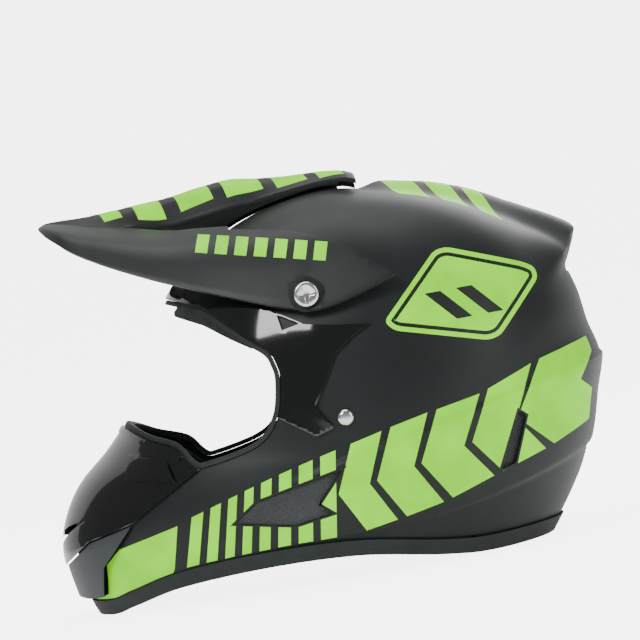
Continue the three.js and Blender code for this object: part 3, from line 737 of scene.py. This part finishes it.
def build_face_trim():
    edge = [p for p in beside(RIM, -GAP) if p[0] < 97 and (p[1] > 91.5 or p[0] < 30)]
    last = max(i for i, p in enumerate(edge) if p[0] < 30 and p[1] < 110)
    outline = [(99, 212)] + edge[: last + 1] + [
        (8, 91.5), (-4, 95), (5, 110), (-5, 126.5), (-13, 140), (-25, 148.5), (-37, 154.5), (-18, 157), (2, 161),
        (21, 173), (40, 187), (66, 204), (84, 213),
    ]
    trim = on_shell([outline], 2.2)
    combine(trim, "DIFFERENCE", prism([[(18.5, 170), (6, 162), (17, 160)]], "y", -WIDE, WIDE))
    soften(trim, 0.6, 3, 50)
    finish_piece(trim, "brow_and_cheek_trim", MATERIALS["gloss"], replaces=["face_trim"])


def guard_depth(most):
    return lambda p: mix(1.8, most, smooth(125, 176, p[:, 0]))


GUARD = [(84, 84), (133, 57), (164, 49.5), (186, 34.5), (210, 34.5), (210, 130), (84, 130)]
CHIN_LIP = [
    (134, 55.6), (163.5, 48.6), (185, 34), (210, 34), (210, 20), (172, 12.5), (161, 13), (157, 32), (147, 42),
]


def guard_bosses():
    """The raised box on each cheek of the guard, and the lip along its upper edge."""
    made = []
    for depth, outlines in (
        (2.6, [[(133, 84), (128, 99.5), (104, 92), (101, 79)]]),
        (1.0, [band([p for p in RIM if p[0] > 92 and p[1] < 150], -0.4, -4.2)]),
    ):
        boss = shell_body(lambda p, d=depth: guard_depth(9.6)(p) + d, True)
        combine(boss, "INTERSECT", prism(outlines, "y", -WIDE, WIDE))
        made.append(combine(boss, "DIFFERENCE", shell_body(1.2, True, 200)))
    return made


def build_chin_guard():
    guard = shell_body(guard_depth(9.6), True)
    combine(guard, "INTERSECT", prism([GUARD], "y", -WIDE, WIDE))
    combine(guard, "DIFFERENCE", shell_body(GAP, True), prism(eyeport(-GAP), "y", -WIDE, WIDE),
            prism([MOUTH], "x", 120, 220))
    combine(guard, "UNION", *guard_bosses())
    soften(guard, 0.8, 3, 45)
    finish_piece(guard, "chin_bar_guard", MATERIALS["gloss"], replaces=["chin_guard"])
    lip = shell_body(guard_depth(8.2), True)
    combine(lip, "INTERSECT", prism([CHIN_LIP], "y", -WIDE, WIDE))
    combine(lip, "DIFFERENCE", shell_body(GAP, True))
    soften(lip, 0.8, 3, 45)
    finish_piece(lip, "chin_lip", MATERIALS["lip"], replaces=["chin_lip_panel"])


def build_grilles():
    plates = [
        ("mouth_mesh", "chin_vent_grille", MOUTH, "x", 120, 220),
        ("exhaust_mesh", "exhaust_grille", EXHAUST, "x", -240, -140),
        ("scoop_mesh", "front_side_grille", SCOOP, "y", 60, WIDE),
        ("rear_slot_mesh", "rear_side_grille", SIDE_VENT, "y", 50, WIDE),
    ]
    for name, cad, outline, axis, low, high in plates:
        plate = shell_body(-0.8, True, 200)
        combine(plate, "INTERSECT", prism([inset(outline, GAP)], axis, low, high))
        combine(plate, "DIFFERENCE", shell_body(-2.4, True, 200))
        if axis == "x":
            finish_piece(plate, name, MATERIALS["grille"], replaces=[cad])
            continue
        other = mirrored(plate)
        finish_piece(plate, name + "_left", MATERIALS["grille"], replaces=[cad + "_left"])
        finish_piece(other, name + "_right", MATERIALS["grille"], replaces=[cad + "_right"])


# ------------------------------------------------------------------------------------ peak
PEAK_TOP = through([
    (-58, 246), (-45, 252.5), (-38.6, 255), (-25, 257), (0, 258.5), (17, 260.5), (35, 263), (57, 261.3),
    (73, 259), (94, 257.8), (128, 256.2), (157, 256.8), (162.5, 255.2),
])
PEAK_RIM = through([
    (-58, 181.4), (-44, 176.6), (-24, 171.3), (-9, 168.8), (0, 169.7), (10, 172.7), (23, 177), (84, 203),
    (112, 216.7), (127, 225), (143, 235.4), (156, 246), (161, 251.5), (162.5, 253.2),
])
PEAK_HALF = through([
    (-58, 118), (-44, 119), (-24, 119), (-9, 118), (0, 117), (10, 114.5), (23, 111), (68, 96), (84, 89),
    (112, 77), (127, 69), (145, 56), (156, 37), (161, 21), (162.5, 11),
])
STRIP_HALF = through([
    (-58, 38), (-47, 37), (-20, 33), (30, 30), (79, 28), (109, 29), (135, 22), (155, 11), (162.5, 3),
])
STRIP_DROP = through([
    (-58, 5), (-45, 5), (-20, 7.5), (3, 11), (25, 16), (51, 18), (82, 17), (110, 12), (128, 7), (150, 2.2),
    (162.5, 0.4),
])
STRIP_SHAPE = through([(0, 0), (0.45, 0.03), (0.74, 0.2), (1, 1)])
SIDE_SHAPE = through([(0, 0), (0.2, 0.075), (0.42, 0.19), (0.6, 0.3), (0.74, 0.42), (0.85, 0.6), (0.93, 0.8), (1, 1)])
PEAK_OPENING = [
    (109, 30), (79, 28), (30, 30), (-20, 33), (-47, 37), (-90, 37), (-90, 112), (-56, 112), (-38, 107),
    (-22, 100), (-4, 87), (5, 77), (27, 73.5), (56, 59),
]
ABOVE_WING = [(-90, 165), (-58, 182.4), (-39, 198.6), (-22, 210), (0, 220.5), (39, 229), (39, 300), (-90, 300)]


def peak_points(x, across):
    s = np.abs(across)
    inner, outer = np.minimum(s, 1), np.maximum(0, s - 1)
    top = PEAK_TOP(x)
    edge = top - STRIP_DROP(x)
    y = np.where(s < 1, inner * STRIP_HALF(x), mix(STRIP_HALF(x), PEAK_HALF(x), outer))
    z = np.where(s < 1, top - STRIP_DROP(x) * STRIP_SHAPE(inner), mix(edge, PEAK_RIM(x), SIDE_SHAPE(outer)))
    return np.stack([x, np.sign(across) * y, z], -1)


def peak_sheet(above, below):
    """The whole hood, between two distances from its upper face."""
    long, wide = ((180, 140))
    bm = bmesh.new()
    bmesh.ops.create_grid(bm, x_segments=long, y_segments=wide, size=1)
    sheet = from_bmesh("peak", bm)
    sheet.data.flip_normals()

    def place(p):
        u = (p[:, 0] + 1) / 2
        x = -58 + 220.5 * (1 - (1 - u) ** 1.35)
        across = 2 * np.sign(p[:, 1]) * np.abs(p[:, 1])
        here = peak_points(x, across)
        step_x = np.minimum(0.4, 162.5 - x) * 0 + 0.4
        fore = peak_points(np.minimum(x + step_x, 162.5), across) - peak_points(np.maximum(x - step_x, -58), across)
        left = peak_points(x, np.minimum(across + 0.02, 2)) - peak_points(x, np.maximum(across - 0.02, -2))
        out = np.cross(fore, left)
        out /= np.linalg.norm(out, axis=1)[:, None]
        place.normals = out
        return here

    move_points(sheet, place)
    out = place.normals
    top = sheet.data
    bm = bmesh.new()
    bm.from_mesh(top)
    bm.verts.ensure_lookup_table()
    count = len(bm.verts)
    for i, v in enumerate(bm.verts):
        v.co += Vector(out[i]) * above
    made = bmesh.ops.extrude_face_region(bm, geom=bm.faces[:], use_keep_orig=True)
    lower = [v for v in made["geom"] if isinstance(v, bmesh.types.BMVert)]
    if len(lower) != count:
        raise RuntimeError("the peak's lower face has lost points")
    upper = {tuple(round(c, 5) for c in v.co): i for i, v in enumerate(bm.verts[:count])}
    bm.verts.ensure_lookup_table()
    for v in lower:
        v.co -= Vector(out[upper[tuple(round(c, 5) for c in v.co)]]) * (above - below)
    bmesh.ops.recalc_face_normals(bm, faces=bm.faces)
    bm.to_mesh(top)
    bm.free()
    return sheet


def trim_peak(obj):
    """Cuts the openings, the free ends of the wings and the tail."""
    tail = [(-100, -40), (-47, -40), (-45, -20), (-44, 0), (-45, 20), (-47, 40), (-100, 40)]
    cutters = [prism([tail], "z", 150, 300)]
    for s in (1, -1):
        cutters.append(prism([rounded([(x, y * s) for x, y in PEAK_OPENING], 3)], "z", 150, 300))
        low, high = sorted((60 * s, WIDE * s))
        cutters.append(prism([ABOVE_WING], "y", low, high))
        cutters.append(bar("y", PIVOT, 11, *sorted((80 * s, 111.4 * s))))
        cutters.append(bar("y", PIVOT, 9.4, *sorted((116 * s, 140 * s))))
    return combine(obj, "DIFFERENCE", *cutters)


def strip_skirt(side):
    """The flange that runs down from the middle strip's edge to just above the crown."""
    xs = np.linspace(-35, 84, 40)
    outer = [(x, side * (float(STRIP_HALF(x)) - 1.0)) for x in xs]
    inner = [(x, side * (float(STRIP_HALF(x)) - 3.6)) for x in xs]
    skirt = prism([outer + inner[::-1]], "z", 205, 300)
    top = peak_sheet(60, -0.6)
    crown = shell_body(lambda p: 2.3 + 0.034 * np.abs(p[:, 0] - PIVOT[0]), True, 200)
    combine(skirt, "DIFFERENCE", top, crown)
    lowest = prism([[(84, 200), (84, 241), (62, 231), (40, 222), (0, 205), (0, 200)]], "y", -WIDE, WIDE)
    return combine(skirt, "DIFFERENCE", lowest)


def build_peak():
    hood = trim_peak(peak_sheet(0, -2.6))
    for s in (1, -1):
        combine(hood, "UNION", strip_skirt(s), bar("y", PIVOT, 11, *sorted((111.4 * s, 116 * s))))
        combine(hood, "DIFFERENCE", bar("y", PIVOT, 3, *sorted((80 * s, 140 * s))))
    soften(hood, 0.55, 2, 45)
    return finish_piece(hood, "sun_peak", MATERIALS["shell"], "peak", ["peak"])


def build_screws():
    for side, s in (("left", 1), ("right", -1)):
        head = bar("y", PIVOT, 8.5, 116.3, 119.6, 64, 7.4)
        soften(head, 0.9, 4, 30)
        for wide_way in (True, False):
            a, b = (5.2, 1.25) if wide_way else (1.25, 5.2)
            slot = [(PIVOT[0] - a, PIVOT[1] - b), (PIVOT[0] + a, PIVOT[1] - b), (PIVOT[0] + a, PIVOT[1] + b),
                    (PIVOT[0] - a, PIVOT[1] + b)]
            combine(head, "DIFFERENCE", prism([slot], "y", 116.9, 125))
        combine(head, "UNION", bar("y", PIVOT, 2.5, 98, 116.6))
        soften(head, 0.15, 2, 40, 0)
        if s < 0:
            flipped = mirrored(head)
            drop(head)
            head = flipped
        finish_piece(head, f"temple_screw_{side}", MATERIALS["chrome"], replaces=[f"peak_screw_{side}"])
        rivet = bar("y", RIVET, 5.4, 119.6, 121.4, 48, 3.6)
        soften(rivet, 0.8, 4, 25)
        combine(rivet, "UNION", bar("y", RIVET, 2.4, 106.5, 120.5), bar("y", RIVET, 5, 106, 108))
        if s < 0:
            flipped = mirrored(rivet)
            drop(rivet)
            rivet = flipped
        finish_piece(rivet, f"cheek_rivet_{side}", MATERIALS["chrome"], replaces=[f"strap_rivet_{side}"])


# ------------------------------------------------------------------------------------ graphics
FILM = 0.16
BAND_LOW = through([
    (-205, 84), (-185, 75), (-166, 69.5), (-141, 59.5), (-97, 47.5), (-60, 37), (-32, 32), (-5, 28), (43, 28),
    (109, 24), (158, 13),
])
BAND_HIGH = through([
    (-205, 122), (-185, 123), (-171, 124), (-158, 119), (-123, 108.5), (-92, 98), (-57, 93), (-33, 88),
    (35, 72.5), (99, 54), (145, 41), (160, 36),
])
FRONT_BLOCK = [(168, 11), (158, 14), (156.5, 22), (155.2, 33), (144.6, 42), (104, 51.5), (111, 25), (114, 20), (140, 10)]
BADGE = [
    (-46, 153.5), (-51.5, 147), (-108, 130.5), (-116, 132), (-147.5, 163), (-147, 170), (-140, 174.5),
    (-93, 192.5), (-85, 191.5),
]
BAR_WIDTHS = (8, 7, 6, 6, 7, 8, 9, 10)
BAR_GAP = 5.0
CHEVRON_WIDTHS = (20, 24, 28, 30, 46)
CHEVRON_GAP = 6.0


def join(objects):
    bm = bmesh.new()
    for obj in objects:
        bm.from_mesh(obj.data)
        drop(obj)
    return from_bmesh("joined", bm)


def side_prisms(outlines, near=40.0):
    """Side outlines made solid on both sides of the helmet, leaving out a strip in the middle."""
    return join([prism(outlines, "y", near, WIDE), prism(outlines, "y", -WIDE, -near)])


def film_on_shell(cutter, remove=()):
    """A thin film that follows the shell inside the cutter."""
    film = shell_body(FILM)
    combine(film, "INTERSECT", cutter)
    return combine(film, "DIFFERENCE", shell_body(-0.8), *remove)


def leaning_bar(front, width, lean):
    back = front - width
    return [
        (front, BAND_LOW(front)), (front - lean, BAND_HIGH(front - lean)), (back - lean, BAND_HIGH(back - lean)),
        (back, BAND_LOW(back)),
    ]


def side_chevron(front, width, tip):
    """An arrow stripe that points forwards and fills the band's height."""
    back = front - width

    def middle(x):
        return x, (BAND_LOW(x) + BAND_HIGH(x)) / 2

    return [
        (front, BAND_LOW(front)), middle(front + tip), (front, BAND_HIGH(front)), (back, BAND_HIGH(back)),
        middle(back + tip), (back, BAND_LOW(back)),
    ]


def plan_chevron(front, width, half, tip):
    """An arrow stripe seen from above."""
    back = front - width
    return [(front, -half), (front + tip, 0), (front, half), (back, half), (back + tip, 0), (back, -half)]


def build_band():
    bars = []
    at = 103.0
    for width in BAR_WIDTHS:
        bars.append(leaning_bar(at, width, 9))
        at -= width + BAR_GAP
    guard = shell_body(12, True)
    combine(guard, "INTERSECT", prism([inset(CHIN_LIP, -0.6)], "y", -WIDE, WIDE))
    front = film_on_shell(side_prisms([FRONT_BLOCK, *bars], 6), [guard, below_bottom(10.8),
                          prism([inset(SCOOP, -1.2)], "y", -WIDE, WIDE)])
    finish_piece(front, "front_graphics", MATERIALS["green"])
    stripes = []
    for width in CHEVRON_WIDTHS:
        stripes.append(side_chevron(at - 14, width, 7 + 0.3 * width))
        at -= width + CHEVRON_GAP
    band_film = film_on_shell(side_prisms(stripes, 42), [
        below_bottom(10.8), prism([inset(SCOOP, -1.2), inset(SIDE_VENT, -1.2)], "y", -WIDE, WIDE),
        bar("y", RIVET, 7, -WIDE, WIDE),
    ])
    finish_piece(band_film, "band_graphics", MATERIALS["green"])


def build_badge():
    outer = rounded(BADGE, 6)
    slots = [[(x, 166), (x - 10, 166), (x - 27, 147), (x - 17, 147)] for x in (-74, -94)]
    ring = film_on_shell(side_prisms([outer]), [side_prisms([inset(outer, 3.0)], 30)])
    finish_piece(ring, "badge_frame", MATERIALS["green"])
    field = film_on_shell(side_prisms([inset(outer, 5.4)]), [side_prisms(slots, 30)])
    finish_piece(field, "badge_field", MATERIALS["green"])


def build_top_graphics():
    crown = film_on_shell(prism([plan_chevron(x, w, 44, 15) for x, w in ((-72, 20), (-99, 16), (-122, 12))], "z", 190, 300))
    finish_piece(crown, "crown_graphics", MATERIALS["green"])
    strip = peak_sheet(FILM, -0.8)
    plan = [
        plan_chevron(x, w, float(STRIP_HALF(x)) - 2.5, 12)
        for x, w in ((-24, 16), (4, 20), (37, 24), (68, 22), (96, 18), (118, 12))
    ]
    combine(strip, "INTERSECT", prism(plan, "z", 150, 300))
    finish_piece(strip, "peak_top_graphics", MATERIALS["green"], "peak")


def build_back_marks():
    row = [[(y, 88), (y + 4.2, 88), (y + 7.6, 97), (y + 3.4, 97)] for y in (-23, -16, -9, -2, 5, 12)]
    small = film_on_shell(prism(row, "x", -240, -120))
    finish_piece(small, "nape_small_bars", MATERIALS["green"])
    outer = rounded([(-13, 31), (13, 31), (13, 48), (-13, 48)], 2.5)
    label = film_on_shell(prism([outer], "x", -240, -120), [prism([inset(outer, 1.1)], "x", -240, -120)])
    finish_piece(label, "nape_label_frame", MATERIALS["mark"])


def build_peak_graphics():
    bars = []
    for i in range(7):
        x, z = 62 - 12 * i, 229.5 - 3.1 * i
        bars.append([(x, z - 11.5), (x - 7.5, z - 13.5), (x - 11, z - 2), (x - 3.5, z)])
    film = peak_sheet(FILM, -0.8)
    combine(film, "INTERSECT", side_prisms(bars, 30))
    finish_piece(film, "peak_side_bars", MATERIALS["green"], "peak")


def build_graphics():
    build_band()
    build_badge()
    build_top_graphics()
    build_back_marks()
    build_peak_graphics()


# ------------------------------------------------------------------------------------ soft goods and small parts
def copy_of(node_name):
    """A copy of one of the frame's parts with its points merged."""
    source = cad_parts[node_name]
    obj = add_object(node_name + "_copy", source.data.copy())
    obj.matrix_world = source.matrix_world
    obj.data.transform(source.matrix_world)
    obj.matrix_world = Matrix()
    bm = bmesh.new()
    bm.from_mesh(obj.data)
    bmesh.ops.remove_doubles(bm, verts=bm.verts, dist=0.00002)
    bmesh.ops.recalc_face_normals(bm, faces=bm.faces)
    bm.to_mesh(obj.data)
    bm.free()
    obj.data.transform(Matrix.Scale(1000, 4))
    return obj


def points_of(obj):
    co = np.empty(len(obj.data.vertices) * 3)
    obj.data.vertices.foreach_get("co", co)
    return co.reshape(-1, 3)


def normals_of(obj):
    out = np.empty(len(obj.data.vertices) * 3)
    obj.data.vertex_normals.foreach_get("vector", out)
    return out.reshape(-1, 3)


def stuffed(node_name, voxel, shrink, swell, pressure=4.0):
    """A pad that has swollen under its own stuffing, in millimetres."""
    pad = copy_of(node_name)
    mod = pad.modifiers.new("even", "REMESH")
    mod.mode = "VOXEL"
    mod.voxel_size = voxel
    applied(pad)
    relax(pad, 2)
    start = points_of(pad)
    start -= normals_of(pad) * shrink
    move_points(pad, lambda p: start * 0.001)
    mod = pad.modifiers.new("stuffing", "CLOTH")
    mod.settings.quality = 3
    mod.settings.use_pressure = True
    mod.settings.uniform_pressure_force = pressure
    mod.settings.effector_weights.gravity = 0
    mod.collision_settings.use_collision = False
    scene = bpy.context.scene
    for number in range(1, 16):
        scene.frame_set(number)
    applied(pad)
    scene.frame_set(1)
    end = points_of(pad) * 1000
    way = end - start
    far = np.maximum(np.linalg.norm(way, axis=1), 1e-9)
    way *= (np.minimum(far, swell) / far)[:, None]
    move_points(pad, lambda p: start + way)
    relax(pad, 1)
    return pad


def relax(obj, times):
    bm = bmesh.new()
    bm.from_mesh(obj.data)
    for _ in range(times):
        bmesh.ops.smooth_vert(bm, verts=bm.verts, factor=0.5, use_axis_x=True, use_axis_y=True, use_axis_z=True)
    bm.to_mesh(obj.data)
    bm.free()


def build_pads():
    for name, look, fill, voxel, shrink, swell in (
        ("cheek_pad_left", "pad", 0.8, 4.0, 1.6, 2.6), ("cheek_pad_right", "pad", 0.8, 4.0, 1.6, 2.6),
        ("comfort_liner", "lining", 0.6, 4.5, 0.6, 1.4), ("neck_roll", "pad", 0.9, 4.0, 1.4, 2.4),
    ):
        pad = stuffed(name, voxel, shrink, swell)
        finish_piece(pad, name + "_padding", MATERIALS[look], replaces=[name], smooth_angle=180)
        mod = pad.modifiers.new("round", "SUBSURF")
        mod.levels = mod.render_levels = 1


def build_small_parts():
    """Finer copies of the small hard parts and of the foam."""
    for name, look, body, slot, edge in (
        ("peak_washer_left", "rubber", "helmet", None, 0.2), ("peak_washer_right", "rubber", "helmet", None, 0.2),
        ("peak_nut_left", "zinc", "helmet", "zinc_steel", 0.3), ("peak_nut_right", "zinc", "helmet", "zinc_steel", 0.3),
        ("strap_plate_left", "zinc", "chin_strap", "zinc_steel", 0.4),
        ("strap_plate_right", "zinc", "chin_strap", "zinc_steel", 0.4),
        ("d_ring_inner", "chrome", "chin_strap", "fastener_steel", 0), ("d_ring_outer", "chrome", "chin_strap",
                                                                       "fastener_steel", 0),
        ("chin_strap_left", "webbing", "chin_strap", "webbing", 0.5),
        ("chin_strap_right", "webbing", "chin_strap", "webbing", 0.5), ("foam_liner", "foam", "helmet", "foam", 0), ("chin_bar_foam", "foam", "helmet", "foam", 0),
    ):
        part = copy_of(name)
        if edge:
            soften(part, edge, 2, 35, 0)
        finish_piece(part, name + "_finish", MATERIALS[look], body, [name], 50)


# ------------------------------------------------------------------------------------ stage
def build_stage():
    """A pale sweep with no corner, so that the helmet stands in even light."""
    bm = bmesh.new()
    ground = -0.0003
    start = bm.verts.new((-9, 3.5, ground))
    edges = [bm.edges.new((start, bm.verts.new((-9, -1.5, ground))))]
    last = edges[0].verts[1]
    bend = bmesh.ops.spin(bm, geom=[last], cent=(-9, -1.5, 3), axis=(1, 0, 0), dvec=(0, 0, 0), angle=-math.pi / 2,
                          steps=24)
    top = bend["geom_last"][0]
    rise = bmesh.ops.extrude_vert_indiv(bm, verts=[top])
    bmesh.ops.translate(bm, verts=rise["verts"], vec=(0, 0, 6))
    sheet = bmesh.ops.extrude_edge_only(bm, edges=bm.edges[:])
    bmesh.ops.translate(bm, verts=[v for v in sheet["geom"] if isinstance(v, bmesh.types.BMVert)], vec=(18, 0, 0))
    bmesh.ops.recalc_face_normals(bm, faces=bm.faces)
    sweep = from_bmesh("sweep", bm)
    f = Finish("pale_sweep", Roughness=0.75, Specular_IOR_Level=0.2)
    path = f.add("ShaderNodeLightPath")
    f.link(f.range(path.outputs["Is Camera Ray"], 0.5, 5.0), f.shader.inputs["Emission Strength"])
    cloud = f.add("ShaderNodeTexNoise", Scale=1.5)
    f.link(f.blend(cloud.outputs["Fac"], (0.9, 0.9, 0.9), (0.93, 0.93, 0.93)), f.shader.inputs["Base Color"])
    f.link(f.blend(cloud.outputs["Fac"], (0.97, 0.97, 0.97), (1.0, 1.0, 1.0)), f.shader.inputs["Emission Color"])
    sweep.data.materials.append(f.material)
    sweep.data.shade_smooth()
    world = bpy.data.worlds.new("studio")
    bpy.context.scene.world = world
    world.use_nodes = True
    back = world.node_tree.nodes["Background"]
    back.inputs["Color"].default_value = (1, 1, 1, 1)
    back.inputs["Strength"].default_value = 0.2

    def lamp(name, place, aim, size, power):
        data = bpy.data.lights.new(name, "AREA")
        data.shape = "RECTANGLE"
        data.size, data.size_y = size
        data.energy = power
        obj = bpy.data.objects.new(name, data)
        bpy.context.scene.collection.objects.link(obj)
        obj.location = place
        obj.rotation_euler = (Vector(aim) - Vector(place)).to_track_quat("-Z", "Y").to_euler()

    lamp("key", (0.9, 1.5, 1.3), (0, 0, 0.15), (0.9, 0.7), 26)
    lamp("fill", (-1.4, 1.3, 0.7), (0, 0, 0.15), (0.5, 1.0), 10)
    lamp("top", (0, -0.1, 1.9), (0, 0, 0.1), (1.4, 1.0), 20)
    lamp("back", (-0.8, -1.4, 1.1), (0, 0, 0.2), (1.0, 0.8), 14)


def build_camera():
    data = bpy.data.cameras.new("camera")
    data.sensor_width = 36
    data.lens = 36 / 0.4192 * 2.0
    data.clip_end = 50
    cam = bpy.data.objects.new("camera", data)
    bpy.context.scene.collection.objects.link(cam)
    roll = math.radians(10.6)
    c, s = math.cos(roll), math.sin(roll)
    turn = Matrix(((-c, -s, 0, 0), (0, 0, 1, 0), (-s, c, 0, 0), (0, 0, 0, 1)))
    cam.matrix_world = Matrix.Translation((-0.0074, 2.0, 0.1619)) @ turn
    bpy.context.scene.camera = cam


# ------------------------------------------------------------------------------------ settings
class HelmetSizes(bpy.types.PropertyGroup):
    """Sizes a maker would change."""

    shell_half_width: bpy.props.FloatProperty(
        name="Shell half width", description="Half the width of the bare shell at the ears", default=0.12,
        unit="LENGTH",
    )


def colour_property(name, description, default):
    return bpy.props.FloatVectorProperty(
        name=name, description=description, default=default, subtype="COLOR", size=3, min=0.0, max=1.0,
    )


class HelmetColours(bpy.types.PropertyGroup):
    """Colours of the finishes."""

    shell: colour_property("Shell", "Matte paint of the shell and peak", (0.006, 0.0085, 0.0085))
    graphics: colour_property("Graphics", "Film of the graphics", (0.26, 0.9, 0.0))
    trim: colour_property("Trim", "Glossy trims", (0.004, 0.0045, 0.005))
    lip_panel: colour_property("Lip panel", "Panel under the mouth vent", (0.035, 0.04, 0.044))
    rubber: colour_property("Rubber", "Edgings", (0.016, 0.02, 0.02))
    foam: colour_property("Foam", "Impact foam", (0.02, 0.021, 0.022))
    lining: colour_property("Lining", "Lining and pad fabric", (0.014, 0.015, 0.016))
    webbing: colour_property("Webbing", "Chin strap", (0.01, 0.01, 0.011))
    grille: colour_property("Grille", "Mesh in the vents", (0.05, 0.053, 0.055))


def operator(idname, label, words, work):
    """An operator that runs one builder function."""

    def execute(self, context):
        work()
        return {"FINISHED"}

    return type(
        "HELMET_OT_" + idname, (bpy.types.Operator,),
        {"__doc__": words, "bl_idname": "helmet." + idname, "bl_label": label, "bl_options": {"REGISTER", "UNDO"},
         "execute": execute},
    )


def prepare():
    RIM[:] = curved(EYEPORT_RIM, 120)
    make_groups()
    MATERIALS.update(make_materials())


STEPS = [
    operator("prepare", "Finishes", "Makes the shared effects and the materials.", prepare),
    operator("stage", "Stage", "Floor, lights and camera.", lambda: (build_camera(), build_stage())),
    operator("shell", "Shell", "The outer shell.", build_shell),
    operator("edgings", "Edgings", "Rubber edgings.", build_edgings),
    operator("face_trim", "Face trim", "Glossy brow and cheek trim.", build_face_trim),
    operator("chin_guard", "Chin guard", "Chin bar guard and lip panel.", build_chin_guard),
    operator("grilles", "Grilles", "Mesh in the vents.", build_grilles),
    operator("peak", "Peak", "The tilting peak.", build_peak),
    operator("graphics", "Graphics", "Green film on the shell and peak.", build_graphics),
    operator("screws", "Screws", "Peak screws and strap rivets.", build_screws),
    operator("pads", "Pads", "Cheek pads, comfort liner and neck roll.", build_pads),
    operator("small_parts", "Small parts", "Nuts, washers, plates, rings and foam.", build_small_parts),
]


class HELMET_PT_sidebar(bpy.types.Panel):
    """The helmet's pieces in the sidebar."""

    bl_label = "Helmet"
    bl_idname = "HELMET_PT_sidebar"
    bl_space_type = "VIEW_3D"
    bl_region_type = "UI"
    bl_category = "Helmet"

    def draw(self, context):
        for step in STEPS:
            self.layout.operator(step.bl_idname)


CLASSES = [HelmetSizes, HelmetColours, *STEPS, HELMET_PT_sidebar]


def register():
    for cls in CLASSES:
        bpy.utils.register_class(cls)
    bpy.types.Scene.helmet_sizes = bpy.props.PointerProperty(type=HelmetSizes)
    bpy.types.Scene.helmet_colours = bpy.props.PointerProperty(type=HelmetColours)


def unregister():
    del bpy.types.Scene.helmet_colours
    del bpy.types.Scene.helmet_sizes
    for cls in reversed(CLASSES):
        bpy.utils.unregister_class(cls)


def main():
    register()
    for step in STEPS:
        group_name, step_name = step.bl_idname.split(".")
        getattr(getattr(bpy.ops, group_name), step_name)()


if __name__ == "__main__":
    main()
